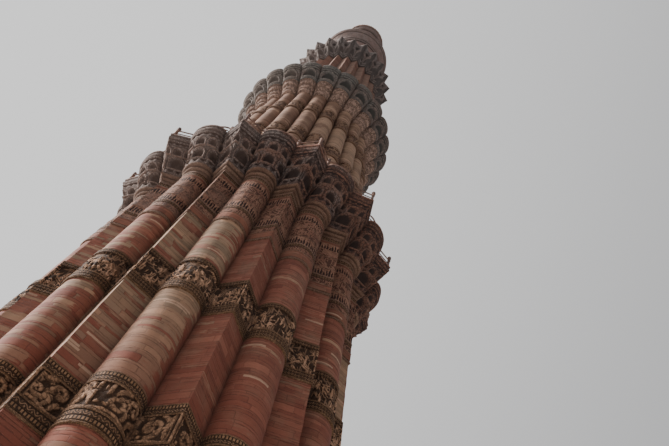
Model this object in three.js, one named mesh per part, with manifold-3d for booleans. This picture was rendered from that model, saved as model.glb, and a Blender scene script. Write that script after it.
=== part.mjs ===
import * as THREE from 'three';
import { mergeVertices } from 'three/addons/utils/BufferGeometryUtils.js';
import Module from 'manifold-3d';

const wasm = await Module();
wasm.setup();

// A fluted sandstone minaret of five storeys as a half-size model, in millimetres, +Z up, standing on z = 0.
// The driving dimensions are those of the real tower in metres, and metres() turns them into the model's.
const MODEL_SCALE = 0.5;
const metres = (value) => value * 1000 * MODEL_SCALE;
const BED_JOINT = 0.3;

// Twenty-four flutes go round the shaft. Flute 0 points along -Y, and the entrance side is +Y.
const FLUTES = 24;
const FLUTE_ANGLE = (2 * Math.PI) / FLUTES;
const FIRST_DIRECTION = -Math.PI / 2;
const ALTERNATE = (flute) => flute % 2 === 1;
const ALL_ROUND = () => true;
const ALL_ANGULAR = () => false;

// A half-round or right-angled flute on its chord: the valley's radius as a share of the crest's.
const HALF_FLUTE = FLUTE_ANGLE / 2;
const VALLEY_SHARE = 1 / (Math.cos(HALF_FLUTE) + Math.sin(HALF_FLUTE));

// The stair shaft narrows from the ground to the top platform.
const SHAFT = { ground: metres(3.5), narrowing: 0.0354, sides: 12 };

const PLINTH = { radius: metres(7.75), height: metres(0.61), sides: 24 };
const STEPS = { count: 2, halfWidth: metres(0.74), depth: metres(0.3) };
const ENTRANCE = { width: metres(1.5), springing: metres(2.25), centre: metres(0.3) };
const PORTAL = { halfWidth: metres(1.75), back: metres(6.05), front: metres(7.45), height: metres(3.7) };
const BALCONY_DOOR = { width: metres(0.8), springing: metres(2), centre: metres(0.2) };

// A doorway is cut from this far below its sill. Its springing is measured from there.
const BELOW_SILL = metres(0.5);

// Each storey: the floor that it stands on, its crest radius there, and how much it narrows for each metre.
// A course is its name, the height it starts at, and how far it stands out past the flutes.
const STOREYS = [
  {
    name: 'first_storey',
    floor: metres(0.61),
    top: metres(26.67),
    crest: metres(7.16),
    taper: 0.071,
    isRound: ALTERNATE,
    roundSteps: 4,
    courses: [
      ['base_band', 0.61, 0.05],
      ['wall_1', 1.95, 0],
      ['band_2', 5.85, 0.05],
      ['wall_2', 7.65, 0],
      ['band_3', 11.66, 0.05],
      ['wall_3', 13.46, 0],
      ['band_4', 17.47, 0.05],
      ['wall_4', 19.36, 0],
      ['band_5', 22.37, 0.05],
      ['band_6', 24.2, 0.05],
    ],
  },
  {
    name: 'second_storey',
    floor: metres(29.54),
    top: metres(42.4),
    crest: metres(4.77),
    taper: 0.07,
    isRound: ALL_ROUND,
    roundSteps: 4,
    courses: [
      ['wall_1', 29.54, 0],
      ['band_1', 34.1, 0.04],
      ['wall_2', 35.6, 0],
      ['band_2', 38.8, 0.04],
      ['wall_3', 40.3, 0],
    ],
  },
  {
    name: 'third_storey',
    floor: metres(45),
    top: metres(55.6),
    crest: metres(3.5),
    taper: 0.056,
    isRound: ALL_ANGULAR,
    roundSteps: 2,
    courses: [
      ['wall_1', 45, 0],
      ['band_1', 50.2, 0.04],
      ['wall_2', 51.5, 0],
    ],
  },
  {
    name: 'fourth_storey',
    floor: metres(57.43),
    top: metres(63.9),
    crest: metres(2.45),
    taper: 0.045,
    courses: [
      ['wall_1', 57.43, 0],
      ['band_1', 60.3, 0.04],
      ['wall_2', 61.2, 0],
    ],
  },
  {
    name: 'fifth_storey',
    floor: metres(65.15),
    top: metres(71.2),
    crest: metres(1.8),
    taper: 0.05,
    courses: [
      ['wall_1', 65.15, 0],
      ['band_1', 68.6, 0.04],
      ['wall_2', 69.3, 0],
    ],
  },
];

// Which points of a rail's path carry a post. A path with a point at each valley and crest starts at a valley.
const EVERY_POINT = () => true;
const EVERY_SECOND = (point) => point % 2 === 0;
const CORNERS_AND_VALLEYS = (point) => point % 4 !== 3;

// Each balcony: the slab's outline, and its pieces from below as a list of [height, spread]. A spread of 0 is
// the shaft's outline under the corbels, and 1 is the slab's.
const BALCONIES = [
  {
    name: 'first_balcony',
    angular: metres(6.48),
    round: metres(6.3),
    valley: metres(5.88),
    pieces: {
      moulding: [[26.67, 0.16], [27.15, 0.16]],
      lower_corbel: [[27.15, 0.2], [27.55, 0.34], [28.2, 0.52]],
      upper_corbel: [[28.2, 0.58], [28.9, 0.72], [29.3, 0.96]],
      slab: [[29.3, 1], [29.54, 1]],
    },
    railing: { inset: metres(0.24), post: metres(0.13), height: metres(0.95), hasPost: CORNERS_AND_VALLEYS },
  },
  {
    name: 'second_balcony',
    round: metres(5),
    valley: metres(4.75),
    pieces: {
      lower_corbel: [[42.4, 0.1], [42.9, 0.22], [43.6, 0.5]],
      upper_corbel: [[43.6, 0.54], [44.2, 0.7], [44.75, 0.96]],
      slab: [[44.75, 1], [45, 1]],
    },
    railing: { radius: metres(4.55), post: metres(0.1), height: metres(0.9), hasPost: EVERY_POINT },
  },
  {
    name: 'third_balcony',
    angular: metres(3.9),
    valley: metres(3.4),
    pieces: {
      corbel: [[55.6, 0.1], [56.6, 0.5], [57.2, 0.95]],
      slab: [[57.2, 1], [57.43, 1]],
    },
    railing: { radius: metres(3.2), post: metres(0.08), height: metres(0.9), hasPost: EVERY_SECOND },
  },
  {
    name: 'fourth_balcony',
    round: metres(2.9),
    pieces: {
      corbel: [[63.9, 0.1], [64.4, 0.4], [64.95, 0.95]],
      slab: [[64.95, 1], [65.15, 1]],
    },
    railing: { radius: metres(2.7), post: metres(0.08), height: metres(0.9), hasPost: EVERY_SECOND },
  },
  {
    name: 'top',
    round: metres(1.9),
    pieces: {
      cornice: [[71.2, 0.2], [71.45, 0.5], [71.7, 0.9]],
      platform: [[71.7, 1], [71.96, 1]],
    },
    railing: { radius: metres(1.78), post: metres(0.07), height: metres(0.61), hasPost: EVERY_SECOND },
  },
];
const RAIL = { thickness: metres(0.05), below: metres(0.13) };

const STONE = {
  plinth: 0x8c7a66,
  wall: 0x9a5f48,
  second_storey: 0x8b7460,
  third_storey: 0x7a6158,
  fourth_storey: 0x7d6d66,
  fifth_storey: 0x7d6d66,
  band: 0x6d5340,
  corbel: 0x5d544d,
};
const stone = (color) => new THREE.MeshStandardMaterial({ color, roughness: 0.92, metalness: 0 });

const minaret = new THREE.Group();

function addPiece(name, geometry, material) {
  geometry.computeVertexNormals();
  const mesh = new THREE.Mesh(geometry, material);
  mesh.name = name;
  minaret.add(mesh);
}

// Outlines run anticlockwise as seen from above.
const atAngle = (radius, angle) => new THREE.Vector2(radius * Math.cos(angle), radius * Math.sin(angle));

function circleOutline(radius, sides, start = FIRST_DIRECTION) {
  return Array.from({ length: sides }, (_, side) => atAngle(radius, start + (2 * Math.PI * side) / sides));
}

// A flute rises from its chord between two valleys to its crest, as half an ellipse or as one corner.
function fluteOutline({ angular, round, valley, isRound, roundSteps }) {
  const chordOut = valley * Math.cos(HALF_FLUTE);
  const chordHalf = valley * Math.sin(HALF_FLUTE);
  const points = [];
  for (let flute = 0; flute < FLUTES; flute += 1) {
    const direction = FIRST_DIRECTION + FLUTE_ANGLE * flute;
    const steps = isRound(flute) ? roundSteps : 2;
    const crest = isRound(flute) ? round : angular;
    for (let step = 0; step < steps; step += 1) {
      const turn = Math.PI * (step / steps - 0.5);
      const out = chordOut + (crest - chordOut) * Math.cos(turn);
      const across = chordHalf * Math.sin(turn);
      points.push(atAngle(out, direction).add(atAngle(across, direction + Math.PI / 2)));
    }
  }
  return points;
}

function storeyOutline(storey, height, projection = 0) {
  const crest = storey.crest - storey.taper * (height - storey.floor) + projection;
  if (!storey.isRound) {
    return circleOutline(crest, FLUTES);
  }
  return fluteOutline({ ...storey, angular: crest, round: crest, valley: crest * VALLEY_SHARE });
}

const shaftRadius = (height) => SHAFT.ground - SHAFT.narrowing * height;
const shaftOutline = (height) => circleOutline(shaftRadius(height), SHAFT.sides);

// A closed body between outer outlines stacked upwards, with an inner outline at each end where it is hollow.
function ringGeometry(levels, inner) {
  const sides = levels[0].outline.length;
  const positions = [];
  const faces = [];
  const addLevel = ({ height, outline }) => {
    const first = positions.length / 3;
    outline.forEach((point) => positions.push(point.x, point.y, height));
    return first;
  };
  const addWall = (lower, upper, count) => {
    for (let side = 0; side < count; side += 1) {
      const next = (side + 1) % count;
      faces.push(lower + side, lower + next, upper + next);
      faces.push(lower + side, upper + next, upper + side);
    }
  };
  const addCap = (outer, outerFirst, hole, holeFirst, upwards) => {
    const indexOf = (corner) => (corner < sides ? outerFirst + corner : holeFirst + corner - sides);
    const corners = [...outer, ...hole];
    THREE.ShapeUtils.triangulateShape([...outer], hole.length ? [[...hole]] : []).forEach(([a, b, c]) => {
      const turn = corners[b].clone().sub(corners[a]).cross(corners[c].clone().sub(corners[a]));
      const ordered = turn > 0 === upwards ? [a, b, c] : [a, c, b];
      faces.push(...ordered.map(indexOf));
    });
  };

  const outerFirsts = levels.map(addLevel);
  outerFirsts.slice(1).forEach((upper, index) => addWall(outerFirsts[index], upper, sides));
  const innerFirsts = (inner ?? []).map(addLevel);
  if (inner) {
    addWall(innerFirsts[1], innerFirsts[0], inner[0].outline.length);
  }
  const [lowHole, highHole] = inner ? inner.map((level) => level.outline) : [[], []];
  addCap(levels[0].outline, outerFirsts[0], lowHole, innerFirsts[0], false);
  addCap(levels.at(-1).outline, outerFirsts.at(-1), highHole, innerFirsts[1], true);

  const geometry = new THREE.BufferGeometry();
  geometry.setAttribute('position', new THREE.Float32BufferAttribute(positions, 3));
  geometry.setIndex(faces);
  return geometry;
}

// Consecutive pieces of the tower keep a bed joint between them, left at the foot of the upper one.
function hollowRing(levels) {
  const [foot, ...others] = levels;
  const bedded = [{ ...foot, height: foot.height + BED_JOINT }, ...others];
  const inner = [bedded[0], bedded.at(-1)].map(({ height }) => ({ height, outline: shaftOutline(height) }));
  return ringGeometry(bedded, inner);
}

// Cuts and joins between closed meshes.
function toManifold(geometry) {
  const bare = geometry.clone();
  bare.deleteAttribute('normal');
  bare.deleteAttribute('uv');
  const merged = mergeVertices(bare);
  const vertProperties = new Float32Array(merged.attributes.position.array);
  const triVerts = new Uint32Array(merged.index.array);
  return new wasm.Manifold(new wasm.Mesh({ numProp: 3, vertProperties, triVerts }));
}

function toGeometry(manifold) {
  const { vertProperties, triVerts, numProp } = manifold.getMesh();
  const geometry = new THREE.BufferGeometry();
  geometry.setAttribute('position', new THREE.Float32BufferAttribute(vertProperties, numProp));
  geometry.setIndex(Array.from(triVerts));
  return geometry;
}

function cutBy(geometry, cutters) {
  const cut = cutters.reduce((body, cutter) => body.subtract(toManifold(cutter)), toManifold(geometry));
  return toGeometry(cut);
}

function joined(geometries) {
  const [first, ...others] = geometries.map(toManifold);
  return toGeometry(others.reduce((body, other) => body.add(other), first));
}

function boxBetween(low, high) {
  const size = high.map((value, axis) => value - low[axis]);
  const middle = high.map((value, axis) => (value + low[axis]) / 2);
  return new THREE.BoxGeometry(...size).translate(...middle);
}

// A pointed arch of two arcs struck from centres past the middle, as a passage along +Y from near to far.
function archedPassage({ width, springing, centre }, sill, near, far) {
  const radius = width / 2 + centre;
  const reach = Math.acos(centre / radius);
  const arch = new THREE.Shape();
  arch.moveTo(-width / 2, 0);
  arch.lineTo(width / 2, 0);
  arch.absarc(-centre, springing, radius, 0, reach, false);
  arch.absarc(centre, springing, radius, Math.PI - reach, Math.PI, false);
  const along = { depth: far - near, bevelEnabled: false, curveSegments: 3 };
  const passage = new THREE.ExtrudeGeometry(arch, along);
  return passage.rotateX(Math.PI / 2).translate(0, far, sill);
}

// The plinth is solid and turned so that flat sides face the axes. A notch on the entrance side takes the
// steps that rise into the portal.
function plinth() {
  const outline = circleOutline(PLINTH.radius, PLINTH.sides, FIRST_DIRECTION + Math.PI / PLINTH.sides);
  const body = ringGeometry([{ height: 0, outline }, { height: PLINTH.height, outline }]);
  const face = PLINTH.radius * Math.cos(Math.PI / PLINTH.sides);
  const notchHalf = STEPS.halfWidth + BED_JOINT;
  const notchBack = face - STEPS.count * STEPS.depth - BED_JOINT;
  const notch = boxBetween([-notchHalf, notchBack, -metres(1)], [notchHalf, PLINTH.radius * 2, metres(1)]);
  return cutBy(body, [notch]);
}

function entranceSteps() {
  const face = PLINTH.radius * Math.cos(Math.PI / PLINTH.sides);
  const rise = PLINTH.height / (STEPS.count + 1);
  const flight = new THREE.Shape();
  flight.moveTo(face, 0);
  for (let step = 0; step < STEPS.count; step += 1) {
    flight.lineTo(face - step * STEPS.depth, rise * (step + 1));
    flight.lineTo(face - (step + 1) * STEPS.depth, rise * (step + 1));
  }
  flight.lineTo(face - STEPS.count * STEPS.depth, 0);
  const steps = new THREE.ExtrudeGeometry(flight, { depth: 2 * STEPS.halfWidth, bevelEnabled: false });
  const toWorld = new THREE.Matrix4().makeBasis(
    new THREE.Vector3(0, 1, 0),
    new THREE.Vector3(0, 0, 1),
    new THREE.Vector3(1, 0, 0),
  );
  return steps.applyMatrix4(toWorld).translate(-STEPS.halfWidth, 0, 0);
}

function entrancePortal() {
  const low = [-PORTAL.halfWidth, PORTAL.back, PLINTH.height + BED_JOINT];
  const high = [PORTAL.halfWidth, PORTAL.front, PLINTH.height + PORTAL.height];
  const passage = archedPassage(ENTRANCE, PLINTH.height - BELOW_SILL, PORTAL.back / 2, PORTAL.front * 2);
  return cutBy(boxBetween(low, high), [passage]);
}

// What the portal and the passage behind it take out of the courses round them.
function entranceCutters() {
  const halfWidth = PORTAL.halfWidth + BED_JOINT;
  const seat = boxBetween(
    [-halfWidth, PORTAL.back - BED_JOINT, 0],
    [halfWidth, PORTAL.front * 2, PLINTH.height + PORTAL.height + BED_JOINT],
  );
  return [seat, archedPassage(ENTRANCE, PLINTH.height - BELOW_SILL, 0, PORTAL.front * 2)];
}

function addStorey(storey) {
  const wallColour = STONE[storey.name] ?? STONE.wall;
  storey.courses.forEach(([name, start, projection], index) => {
    const bottom = metres(start);
    const next = storey.courses[index + 1];
    const top = next ? metres(next[1]) : storey.top;
    const out = metres(projection);
    const levels = [bottom, top].map((height) => ({ height, outline: storeyOutline(storey, height, out) }));
    const course = hollowRing(levels);
    const onPlinth = storey.floor === PLINTH.height;
    const door = archedPassage(BALCONY_DOOR, storey.floor - BELOW_SILL, 0, storey.crest * 2);
    const cutters = onPlinth ? entranceCutters() : [door];
    const cutTop = onPlinth ? PORTAL.height : BALCONY_DOOR.springing + BALCONY_DOOR.width;
    const meetsOpening = bottom < storey.floor + cutTop;
    const colour = name.includes('band') ? STONE.band : wallColour;
    addPiece(`${storey.name}_${name}`, meetsOpening ? cutBy(course, cutters) : course, stone(colour));
  });
}

// A balcony spreads from the shaft's outline below the corbels to the slab's outline.
function addBalcony(balcony, storey) {
  const shaftCrest = storey.crest - storey.taper * (storey.top - storey.floor);
  const shaft = { angular: shaftCrest, round: shaftCrest, valley: shaftCrest * VALLEY_SHARE };
  const outlineAt = (spread) => {
    const between = (key) => THREE.MathUtils.lerp(shaft[key], balcony[key] ?? 0, spread);
    if (!storey.isRound) {
      return circleOutline(between('round'), FLUTES);
    }
    const radii = { angular: between('angular'), round: between('round'), valley: between('valley') };
    return fluteOutline({ ...storey, ...radii });
  };
  Object.entries(balcony.pieces).forEach(([name, profile]) => {
    const levels = profile.map(([level, spread]) => ({ height: metres(level), outline: outlineAt(spread) }));
    const closesShaft = name === 'platform';
    levels[0].height += closesShaft ? BED_JOINT : 0;
    const body = closesShaft ? ringGeometry(levels) : hollowRing(levels);
    addPiece(`${balcony.name}_${name}`, body, stone(STONE.corbel));
  });
  const [topHeight] = Object.values(balcony.pieces).at(-1).at(-1);
  const floor = metres(topHeight) + BED_JOINT;
  addPiece(`${balcony.name}_railing`, railing(balcony, storey, floor), stone(STONE.corbel));
}

// The rail's centre line: round the shaft in a circle, or a little way inside the slab's own edge.
function railPath({ railing: { radius, inset }, angular, round, valley }, storey) {
  if (radius) {
    return circleOutline(radius, FLUTES);
  }
  const radii = { angular: angular - inset, round: round - inset, valley: valley - inset };
  return fluteOutline({ ...storey, ...radii, roundSteps: 2 });
}

// Square posts stand on chosen points of the rail's path and carry one thin rail.
function railing(balcony, storey, floor) {
  const { post, height, hasPost } = balcony.railing;
  const path = railPath(balcony, storey);
  const railTop = floor + height - RAIL.below;
  const railSide = (shift) => [railTop - RAIL.thickness, railTop].map((level) => ({
    height: level,
    outline: path.map((point) => point.clone().setLength(point.length() + shift)),
  }));
  const rail = ringGeometry(railSide(RAIL.thickness / 2), railSide(-RAIL.thickness / 2));
  const posts = path.filter((_, index) => hasPost(index)).map((point) => {
    const stand = boxBetween([-post / 2, -post / 2, floor], [post / 2, post / 2, floor + height]);
    return stand.rotateZ(point.angle()).translate(point.x, point.y, 0);
  });
  return joined([rail, ...posts]);
}

addPiece('plinth', plinth(), stone(STONE.plinth));
addPiece('entrance_steps', entranceSteps(), stone(STONE.plinth));
addPiece('entrance_portal', entrancePortal(), stone(STONE.plinth));
STOREYS.forEach((storey, index) => {
  addStorey(storey);
  addBalcony(BALCONIES[index], storey);
});

export default minaret;
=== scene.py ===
"""The finish of a fluted sandstone minaret, a half-size model seen from close by its foot.

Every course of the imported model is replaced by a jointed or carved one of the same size. Shapes are worked
out in metres of the real tower, and the last step of each one brings it to the model's size.
"""
import math
from types import SimpleNamespace

import bpy
import numpy as np
from mathutils import Matrix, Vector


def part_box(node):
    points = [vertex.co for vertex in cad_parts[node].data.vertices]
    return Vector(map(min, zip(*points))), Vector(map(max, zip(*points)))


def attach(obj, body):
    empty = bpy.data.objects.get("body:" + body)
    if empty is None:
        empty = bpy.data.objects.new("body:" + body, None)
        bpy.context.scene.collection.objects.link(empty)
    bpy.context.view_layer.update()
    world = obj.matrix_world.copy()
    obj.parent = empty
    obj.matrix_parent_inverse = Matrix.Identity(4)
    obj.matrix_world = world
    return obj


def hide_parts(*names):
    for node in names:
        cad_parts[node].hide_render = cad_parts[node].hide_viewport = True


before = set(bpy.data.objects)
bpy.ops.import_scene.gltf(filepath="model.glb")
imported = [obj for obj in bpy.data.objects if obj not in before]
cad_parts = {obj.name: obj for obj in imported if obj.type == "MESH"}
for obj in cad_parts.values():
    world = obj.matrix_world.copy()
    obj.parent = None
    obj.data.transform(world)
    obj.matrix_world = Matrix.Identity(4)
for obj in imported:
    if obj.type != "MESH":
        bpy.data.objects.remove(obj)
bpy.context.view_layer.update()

MODEL_SCALE = 0.5

# Twenty-four flutes, the first one towards -Y, counted anticlockwise from above.
FLUTES = 24
FLUTE_ANGLE = 2 * math.pi / FLUTES
FIRST_DIRECTION = -math.pi / 2
HALF_FLUTE = FLUTE_ANGLE / 2
VALLEY_SHARE = 1 / (math.cos(HALF_FLUTE) + math.sin(HALF_FLUTE))

# On the course map each flute has its own ten metres.
FLUTE_PITCH = 10.0

# The stair shaft's radius at the ground, and what it loses for each metre up.
SHAFT_GROUND = 3.5
SHAFT_NARROWING = 0.0354

# Width of each doorway, height of its springing above the sill's cut, and how far its arcs' centres cross
# over. A cut starts so far below the sill, and ends past the wall's face.
ENTRANCE = (1.5, 2.25, 0.3)
BALCONY_DOOR = (0.8, 2.0, 0.2)
BELOW_SILL = 0.5
PAST_THE_WALL = 12.0

# Floors of the doorways, each above its balcony's slab, and of the entrance.
DOORWAY_FLOORS = {
    "second_storey_wall_1": 29.54,
    "third_storey_wall_1": 45.0,
    "fourth_storey_wall_1": 57.43,
    "fifth_storey_wall_1": 65.15,
}
ENTRANCE_FLOOR = 0.61

PORTAL_HALF_WIDTH = 1.75
PORTAL_BACK = 6.05
PORTAL_FRONT = 7.45
PORTAL_HEIGHT = 3.7

# The floor under the model, in the model's metres.
FLOOR_RADIUS = 22.0
FLOOR_SIDES = 96

# The photograph's camera: where it stands, where it looks, and its lens.
PHOTO_WIDTH = 669
EYE_DISTANCE = 18.27
EYE_HEIGHT = 1.6
EYE_DIRECTION = math.radians(-93.508)
LOOK_YAW = math.radians(10.081)
LOOK_PITCH = math.radians(61.792)
LOOK_ROLL = math.radians(19.604)
FOCAL_PIXELS = 721.683
SENSOR_WIDTH = 36.0

CORNER, ROUND, CIRCLE = 0, 1, 2
ALTERNATE = np.array([CORNER, ROUND] * (FLUTES // 2))
ALL_ROUND = np.full(FLUTES, ROUND)
ALL_CORNER = np.full(FLUTES, CORNER)
PLAIN = np.full(FLUTES, CIRCLE)


# Camera, light and floor

def photo_camera():
    """The camera looks along a yawed and pitched direction, rolled about it."""
    turn = EYE_DIRECTION + math.pi / 2
    forward = np.array([
        math.sin(LOOK_YAW) * math.cos(LOOK_PITCH),
        math.cos(LOOK_YAW) * math.cos(LOOK_PITCH),
        math.sin(LOOK_PITCH),
    ])
    level = np.array([math.cos(LOOK_YAW), -math.sin(LOOK_YAW), 0.0])
    upward = np.cross(level, forward)
    right = math.cos(LOOK_ROLL) * level + math.sin(LOOK_ROLL) * upward
    above = -math.sin(LOOK_ROLL) * level + math.cos(LOOK_ROLL) * upward
    about_z = np.array([
        [math.cos(turn), -math.sin(turn), 0.0],
        [math.sin(turn), math.cos(turn), 0.0],
        [0.0, 0.0, 1.0],
    ])
    place = np.array([
        EYE_DISTANCE * math.cos(EYE_DIRECTION),
        EYE_DISTANCE * math.sin(EYE_DIRECTION),
        EYE_HEIGHT,
    ])
    matrix = np.eye(4)
    matrix[:3, :3] = about_z @ np.column_stack([right, above, -forward])
    matrix[:3, 3] = place * MODEL_SCALE
    lens = bpy.data.cameras.new("photo_camera")
    lens.sensor_width = SENSOR_WIDTH
    lens.lens = FOCAL_PIXELS / PHOTO_WIDTH * SENSOR_WIDTH
    lens.clip_end = 500
    camera = bpy.data.objects.new("photo_camera", lens)
    camera.matrix_world = Matrix(matrix.tolist())
    bpy.context.collection.objects.link(camera)
    bpy.context.scene.camera = camera


def sun(name, azimuth, elevation, strength, size, tint):
    """A sun lamp that shines from an azimuth and an elevation, both in degrees."""
    lamp = bpy.data.lights.new(name, "SUN")
    lamp.energy = strength
    lamp.angle = math.radians(size)
    lamp.color = tint
    holder = bpy.data.objects.new(name, lamp)
    holder.rotation_euler = (0.0, math.radians(90 - elevation), math.radians(azimuth))
    bpy.context.collection.objects.link(holder)


def studio():
    """A plain backdrop that is brighter on the key's side, a wide soft key, and a round pale floor."""
    world = bpy.data.worlds.new("studio")
    world.use_nodes = True
    tree = world.node_tree
    background = tree.nodes["Background"]
    direction = tree.nodes.new("ShaderNodeTexCoord")
    towards = tree.nodes.new("ShaderNodeVectorMath")
    towards.operation = "DOT_PRODUCT"
    towards.inputs[1].default_value = (-0.75, 0.45, 0.48)
    tree.links.new(direction.outputs["Generated"], towards.inputs[0])
    ramp = tree.nodes.new("ShaderNodeMapRange")
    ramp.interpolation_type = "SMOOTHSTEP"
    ramp.inputs["From Min"].default_value = -0.35
    ramp.inputs["From Max"].default_value = 1.0
    tree.links.new(towards.outputs["Value"], ramp.inputs["Value"])
    tone = tree.nodes.new("ShaderNodeMix")
    tone.data_type = "RGBA"
    tone.inputs[6].default_value = (0.42, 0.42, 0.43, 1)
    tone.inputs[7].default_value = (1.10, 1.10, 1.10, 1)
    tree.links.new(ramp.outputs[0], tone.inputs[0])
    tree.links.new(tone.outputs[2], background.inputs["Color"])
    background.inputs["Strength"].default_value = 1.0
    bpy.context.scene.world = world
    sun("key", azimuth=161, elevation=34, strength=12.0, size=18.0, tint=(1.0, 0.98, 0.95))

    angles = np.linspace(0, 2 * math.pi, FLOOR_SIDES, endpoint=False)
    mesh = bpy.data.meshes.new("floor")
    under = np.full(FLOOR_SIDES, -0.001)
    rim = np.column_stack([FLOOR_RADIUS * np.cos(angles), FLOOR_RADIUS * np.sin(angles), under])
    mesh.from_pydata(rim.tolist(), [], [list(range(FLOOR_SIDES))])
    floor = bpy.data.objects.new("floor", mesh)
    bpy.context.collection.objects.link(floor)
    finish = Finish("floor_paint", warmth=(1.0, 1.0, 1.0))
    mottle = finish.noise(finish.place(), 3.0, 3.0)
    finish.shade(finish.mix(mottle, (0.60, 0.60, 0.595), (0.66, 0.66, 0.655)), 0.85, None)
    mesh.materials.append(finish.material)


# Shader maths

class Value:
    """A number that varies over a surface. Arithmetic on it adds Math nodes."""

    def __init__(self, finish, socket):
        self.finish = finish
        self.socket = socket

    def math(self, operation, *others):
        return self.finish.add("ShaderNodeMath", {"operation": operation}, [self, *others])

    def __add__(self, other):
        return self.math("ADD", other)

    def __sub__(self, other):
        return self.math("SUBTRACT", other)

    def __mul__(self, other):
        return self.math("MULTIPLY", other)

    def __truediv__(self, other):
        return self.math("DIVIDE", other)

    def __rsub__(self, other):
        return self.finish.add("ShaderNodeMath", {"operation": "SUBTRACT"}, [other, self])

    def __lt__(self, other):
        return self.math("LESS_THAN", other)

    def __gt__(self, other):
        return self.math("GREATER_THAN", other)

    __radd__ = __add__
    __rmul__ = __mul__

    def floor(self):
        return self.math("FLOOR")

    def fract(self):
        return self.math("FRACT")

    def abs(self):
        return self.math("ABSOLUTE")

    def max(self, other):
        return self.math("MAXIMUM", other)

    def min(self, other):
        return self.math("MINIMUM", other)

    def step(self, low, high):
        """0 below low, 1 above high, and an eased rise between them."""
        settings = {"interpolation_type": "SMOOTHSTEP"}
        values = {"Value": self, "From Min": low, "From Max": high}
        return self.finish.add("ShaderNodeMapRange", settings, values)


# Every stone colour is multiplied by this, so the whole tower's warmth is set in one place.
STONE_WARMTH = (1.02, 0.835, 0.775)


class Finish:
    """One material, and the nodes that it is made of."""

    def __init__(self, name, warmth=STONE_WARMTH):
        self.warmth = warmth
        self.material = bpy.data.materials.new(f"{name}_finish")
        self.material.use_nodes = True
        self.tree = self.material.node_tree
        self.shader = self.tree.nodes["Principled BSDF"]

    def add(self, kind, settings, values, output=0):
        node = self.tree.nodes.new(kind)
        for key, value in settings.items():
            setattr(node, key, value)
        pairs = values.items() if isinstance(values, dict) else enumerate(values)
        for key, value in pairs:
            if isinstance(value, Value):
                self.tree.links.new(value.socket, node.inputs[key])
            else:
                node.inputs[key].default_value = value
        return Value(self, node.outputs[output])

    def attribute(self, name):
        return self.add("ShaderNodeAttribute", {"attribute_name": name}, {}, "Fac")

    def place(self):
        return self.add("ShaderNodeTexCoord", {}, {}, "Object")

    def parts(self, vector):
        """The three numbers of a vector."""
        x = self.add("ShaderNodeSeparateXYZ", {}, [vector])
        return [Value(self, output) for output in x.socket.node.outputs]

    def course_map(self):
        """Metres along the course, and metres up the tower."""
        u, v, _ = self.parts(self.add("ShaderNodeUVMap", {"uv_map": "course"}, {}))
        return u, v

    def block_map(self):
        """Metres along and up for a piece with square faces, in the real tower's metres."""
        x, y, z = [part / MODEL_SCALE for part in self.parts(self.place())]
        facing = self.parts(self.add("ShaderNodeNewGeometry", {}, {}, "True Normal"))
        level = facing[2].abs() > 0.6
        sideways = facing[0].abs() > facing[1].abs()
        along = x + (y - x) * sideways * (1 - level)
        return along, z + (y - z) * level

    def vector(self, x, y, z=0.0):
        return self.add("ShaderNodeCombineXYZ", {}, [x, y, z])

    def stretched(self, vector, scale):
        return self.add("ShaderNodeMapping", {}, {"Vector": vector, "Scale": scale})

    def noise(self, vector, scale, detail=4.0, roughness=0.55):
        values = {"Vector": vector, "Scale": scale, "Detail": detail, "Roughness": roughness}
        return self.add("ShaderNodeTexNoise", {}, values, "Fac")

    def dice(self, x, y=0.0, z=0.0):
        """A random number for each whole place."""
        settings = {"noise_dimensions": "3D"}
        return self.add("ShaderNodeTexWhiteNoise", settings, {"Vector": self.vector(x, y, z)}, "Value")

    def tinted(self, value):
        """Three numbers become a colour with the finish's warmth and an alpha. A link stays as it is."""
        if isinstance(value, Value):
            return value
        return (*[part * warm for part, warm in zip(value, self.warmth)], 1.0)

    def blotched(self, scale, first, second):
        """The two colours in soft patches."""
        return self.mix(self.noise(self.place(), scale, 4.0).step(0.35, 0.65), first, second)

    def cell_edge(self, vector, scale):
        """How far a place is from the edge of its bent cell."""
        values = {"Vector": vector, "Scale": scale}
        return self.add("ShaderNodeTexVoronoi", {"feature": "DISTANCE_TO_EDGE"}, values, "Distance")

    def mix(self, factor, first, second):
        settings = {"data_type": "RGBA"}
        values = {0: factor, 6: self.tinted(first), 7: self.tinted(second)}
        return self.add("ShaderNodeMix", settings, values, 2)

    def darken(self, base, amount):
        """The base colour multiplied by a grey of that amount."""
        settings = {"data_type": "RGBA", "blend_type": "MULTIPLY"}
        grey = self.vector(amount, amount, amount)
        return self.add("ShaderNodeMix", settings, {0: 1.0, 6: self.tinted(base), 7: grey}, 2)

    def shade(self, base, roughness, height, distance=0.01, strength=1.0):
        """The base colour, roughness and bump height go to the shader. A bump's height is in metres."""
        for key, value in {"Base Color": base, "Roughness": roughness}.items():
            if isinstance(value, Value):
                self.tree.links.new(value.socket, self.shader.inputs[key])
            else:
                self.shader.inputs[key].default_value = self.tinted(value) if key == "Base Color" else value
        self.shader.inputs["Specular IOR Level"].default_value = 0.2
        if height is not None:
            values = {"Height": height, "Distance": distance, "Strength": strength}
            bump = self.add("ShaderNodeBump", {}, values)
            self.tree.links.new(bump.socket, self.shader.inputs["Normal"])


# Stone finishes

# Stones are redder towards the ground, by heights in the real tower's metres.
RUDDY_BELOW = (13.0, 18.5)
RUDDY_STONE = (0.150, 0.048, 0.032)
SLIVER_STONE = (0.34, 0.26, 0.19)
OPEN_JOINT = (0.045, 0.022, 0.016)
# Pale dust, with painted light, on the -X side where the key light falls.
PALE_DUST_AND_LIGHT = (0.25, 0.205, 0.175)
# Dark growth, and painted shade where the valleys between the flutes darken.
DARK_GROWTH_AND_SHADE = (0.030, 0.025, 0.024)

# The share of pale stones in plain blocks.
BLOCK_PALE = 0.12

# Corbels' grey stain patches spread further towards -X, by this much for each metre, which paints light on
# the key light's side.
LIT_SIDE_GREYING = -0.08


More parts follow.
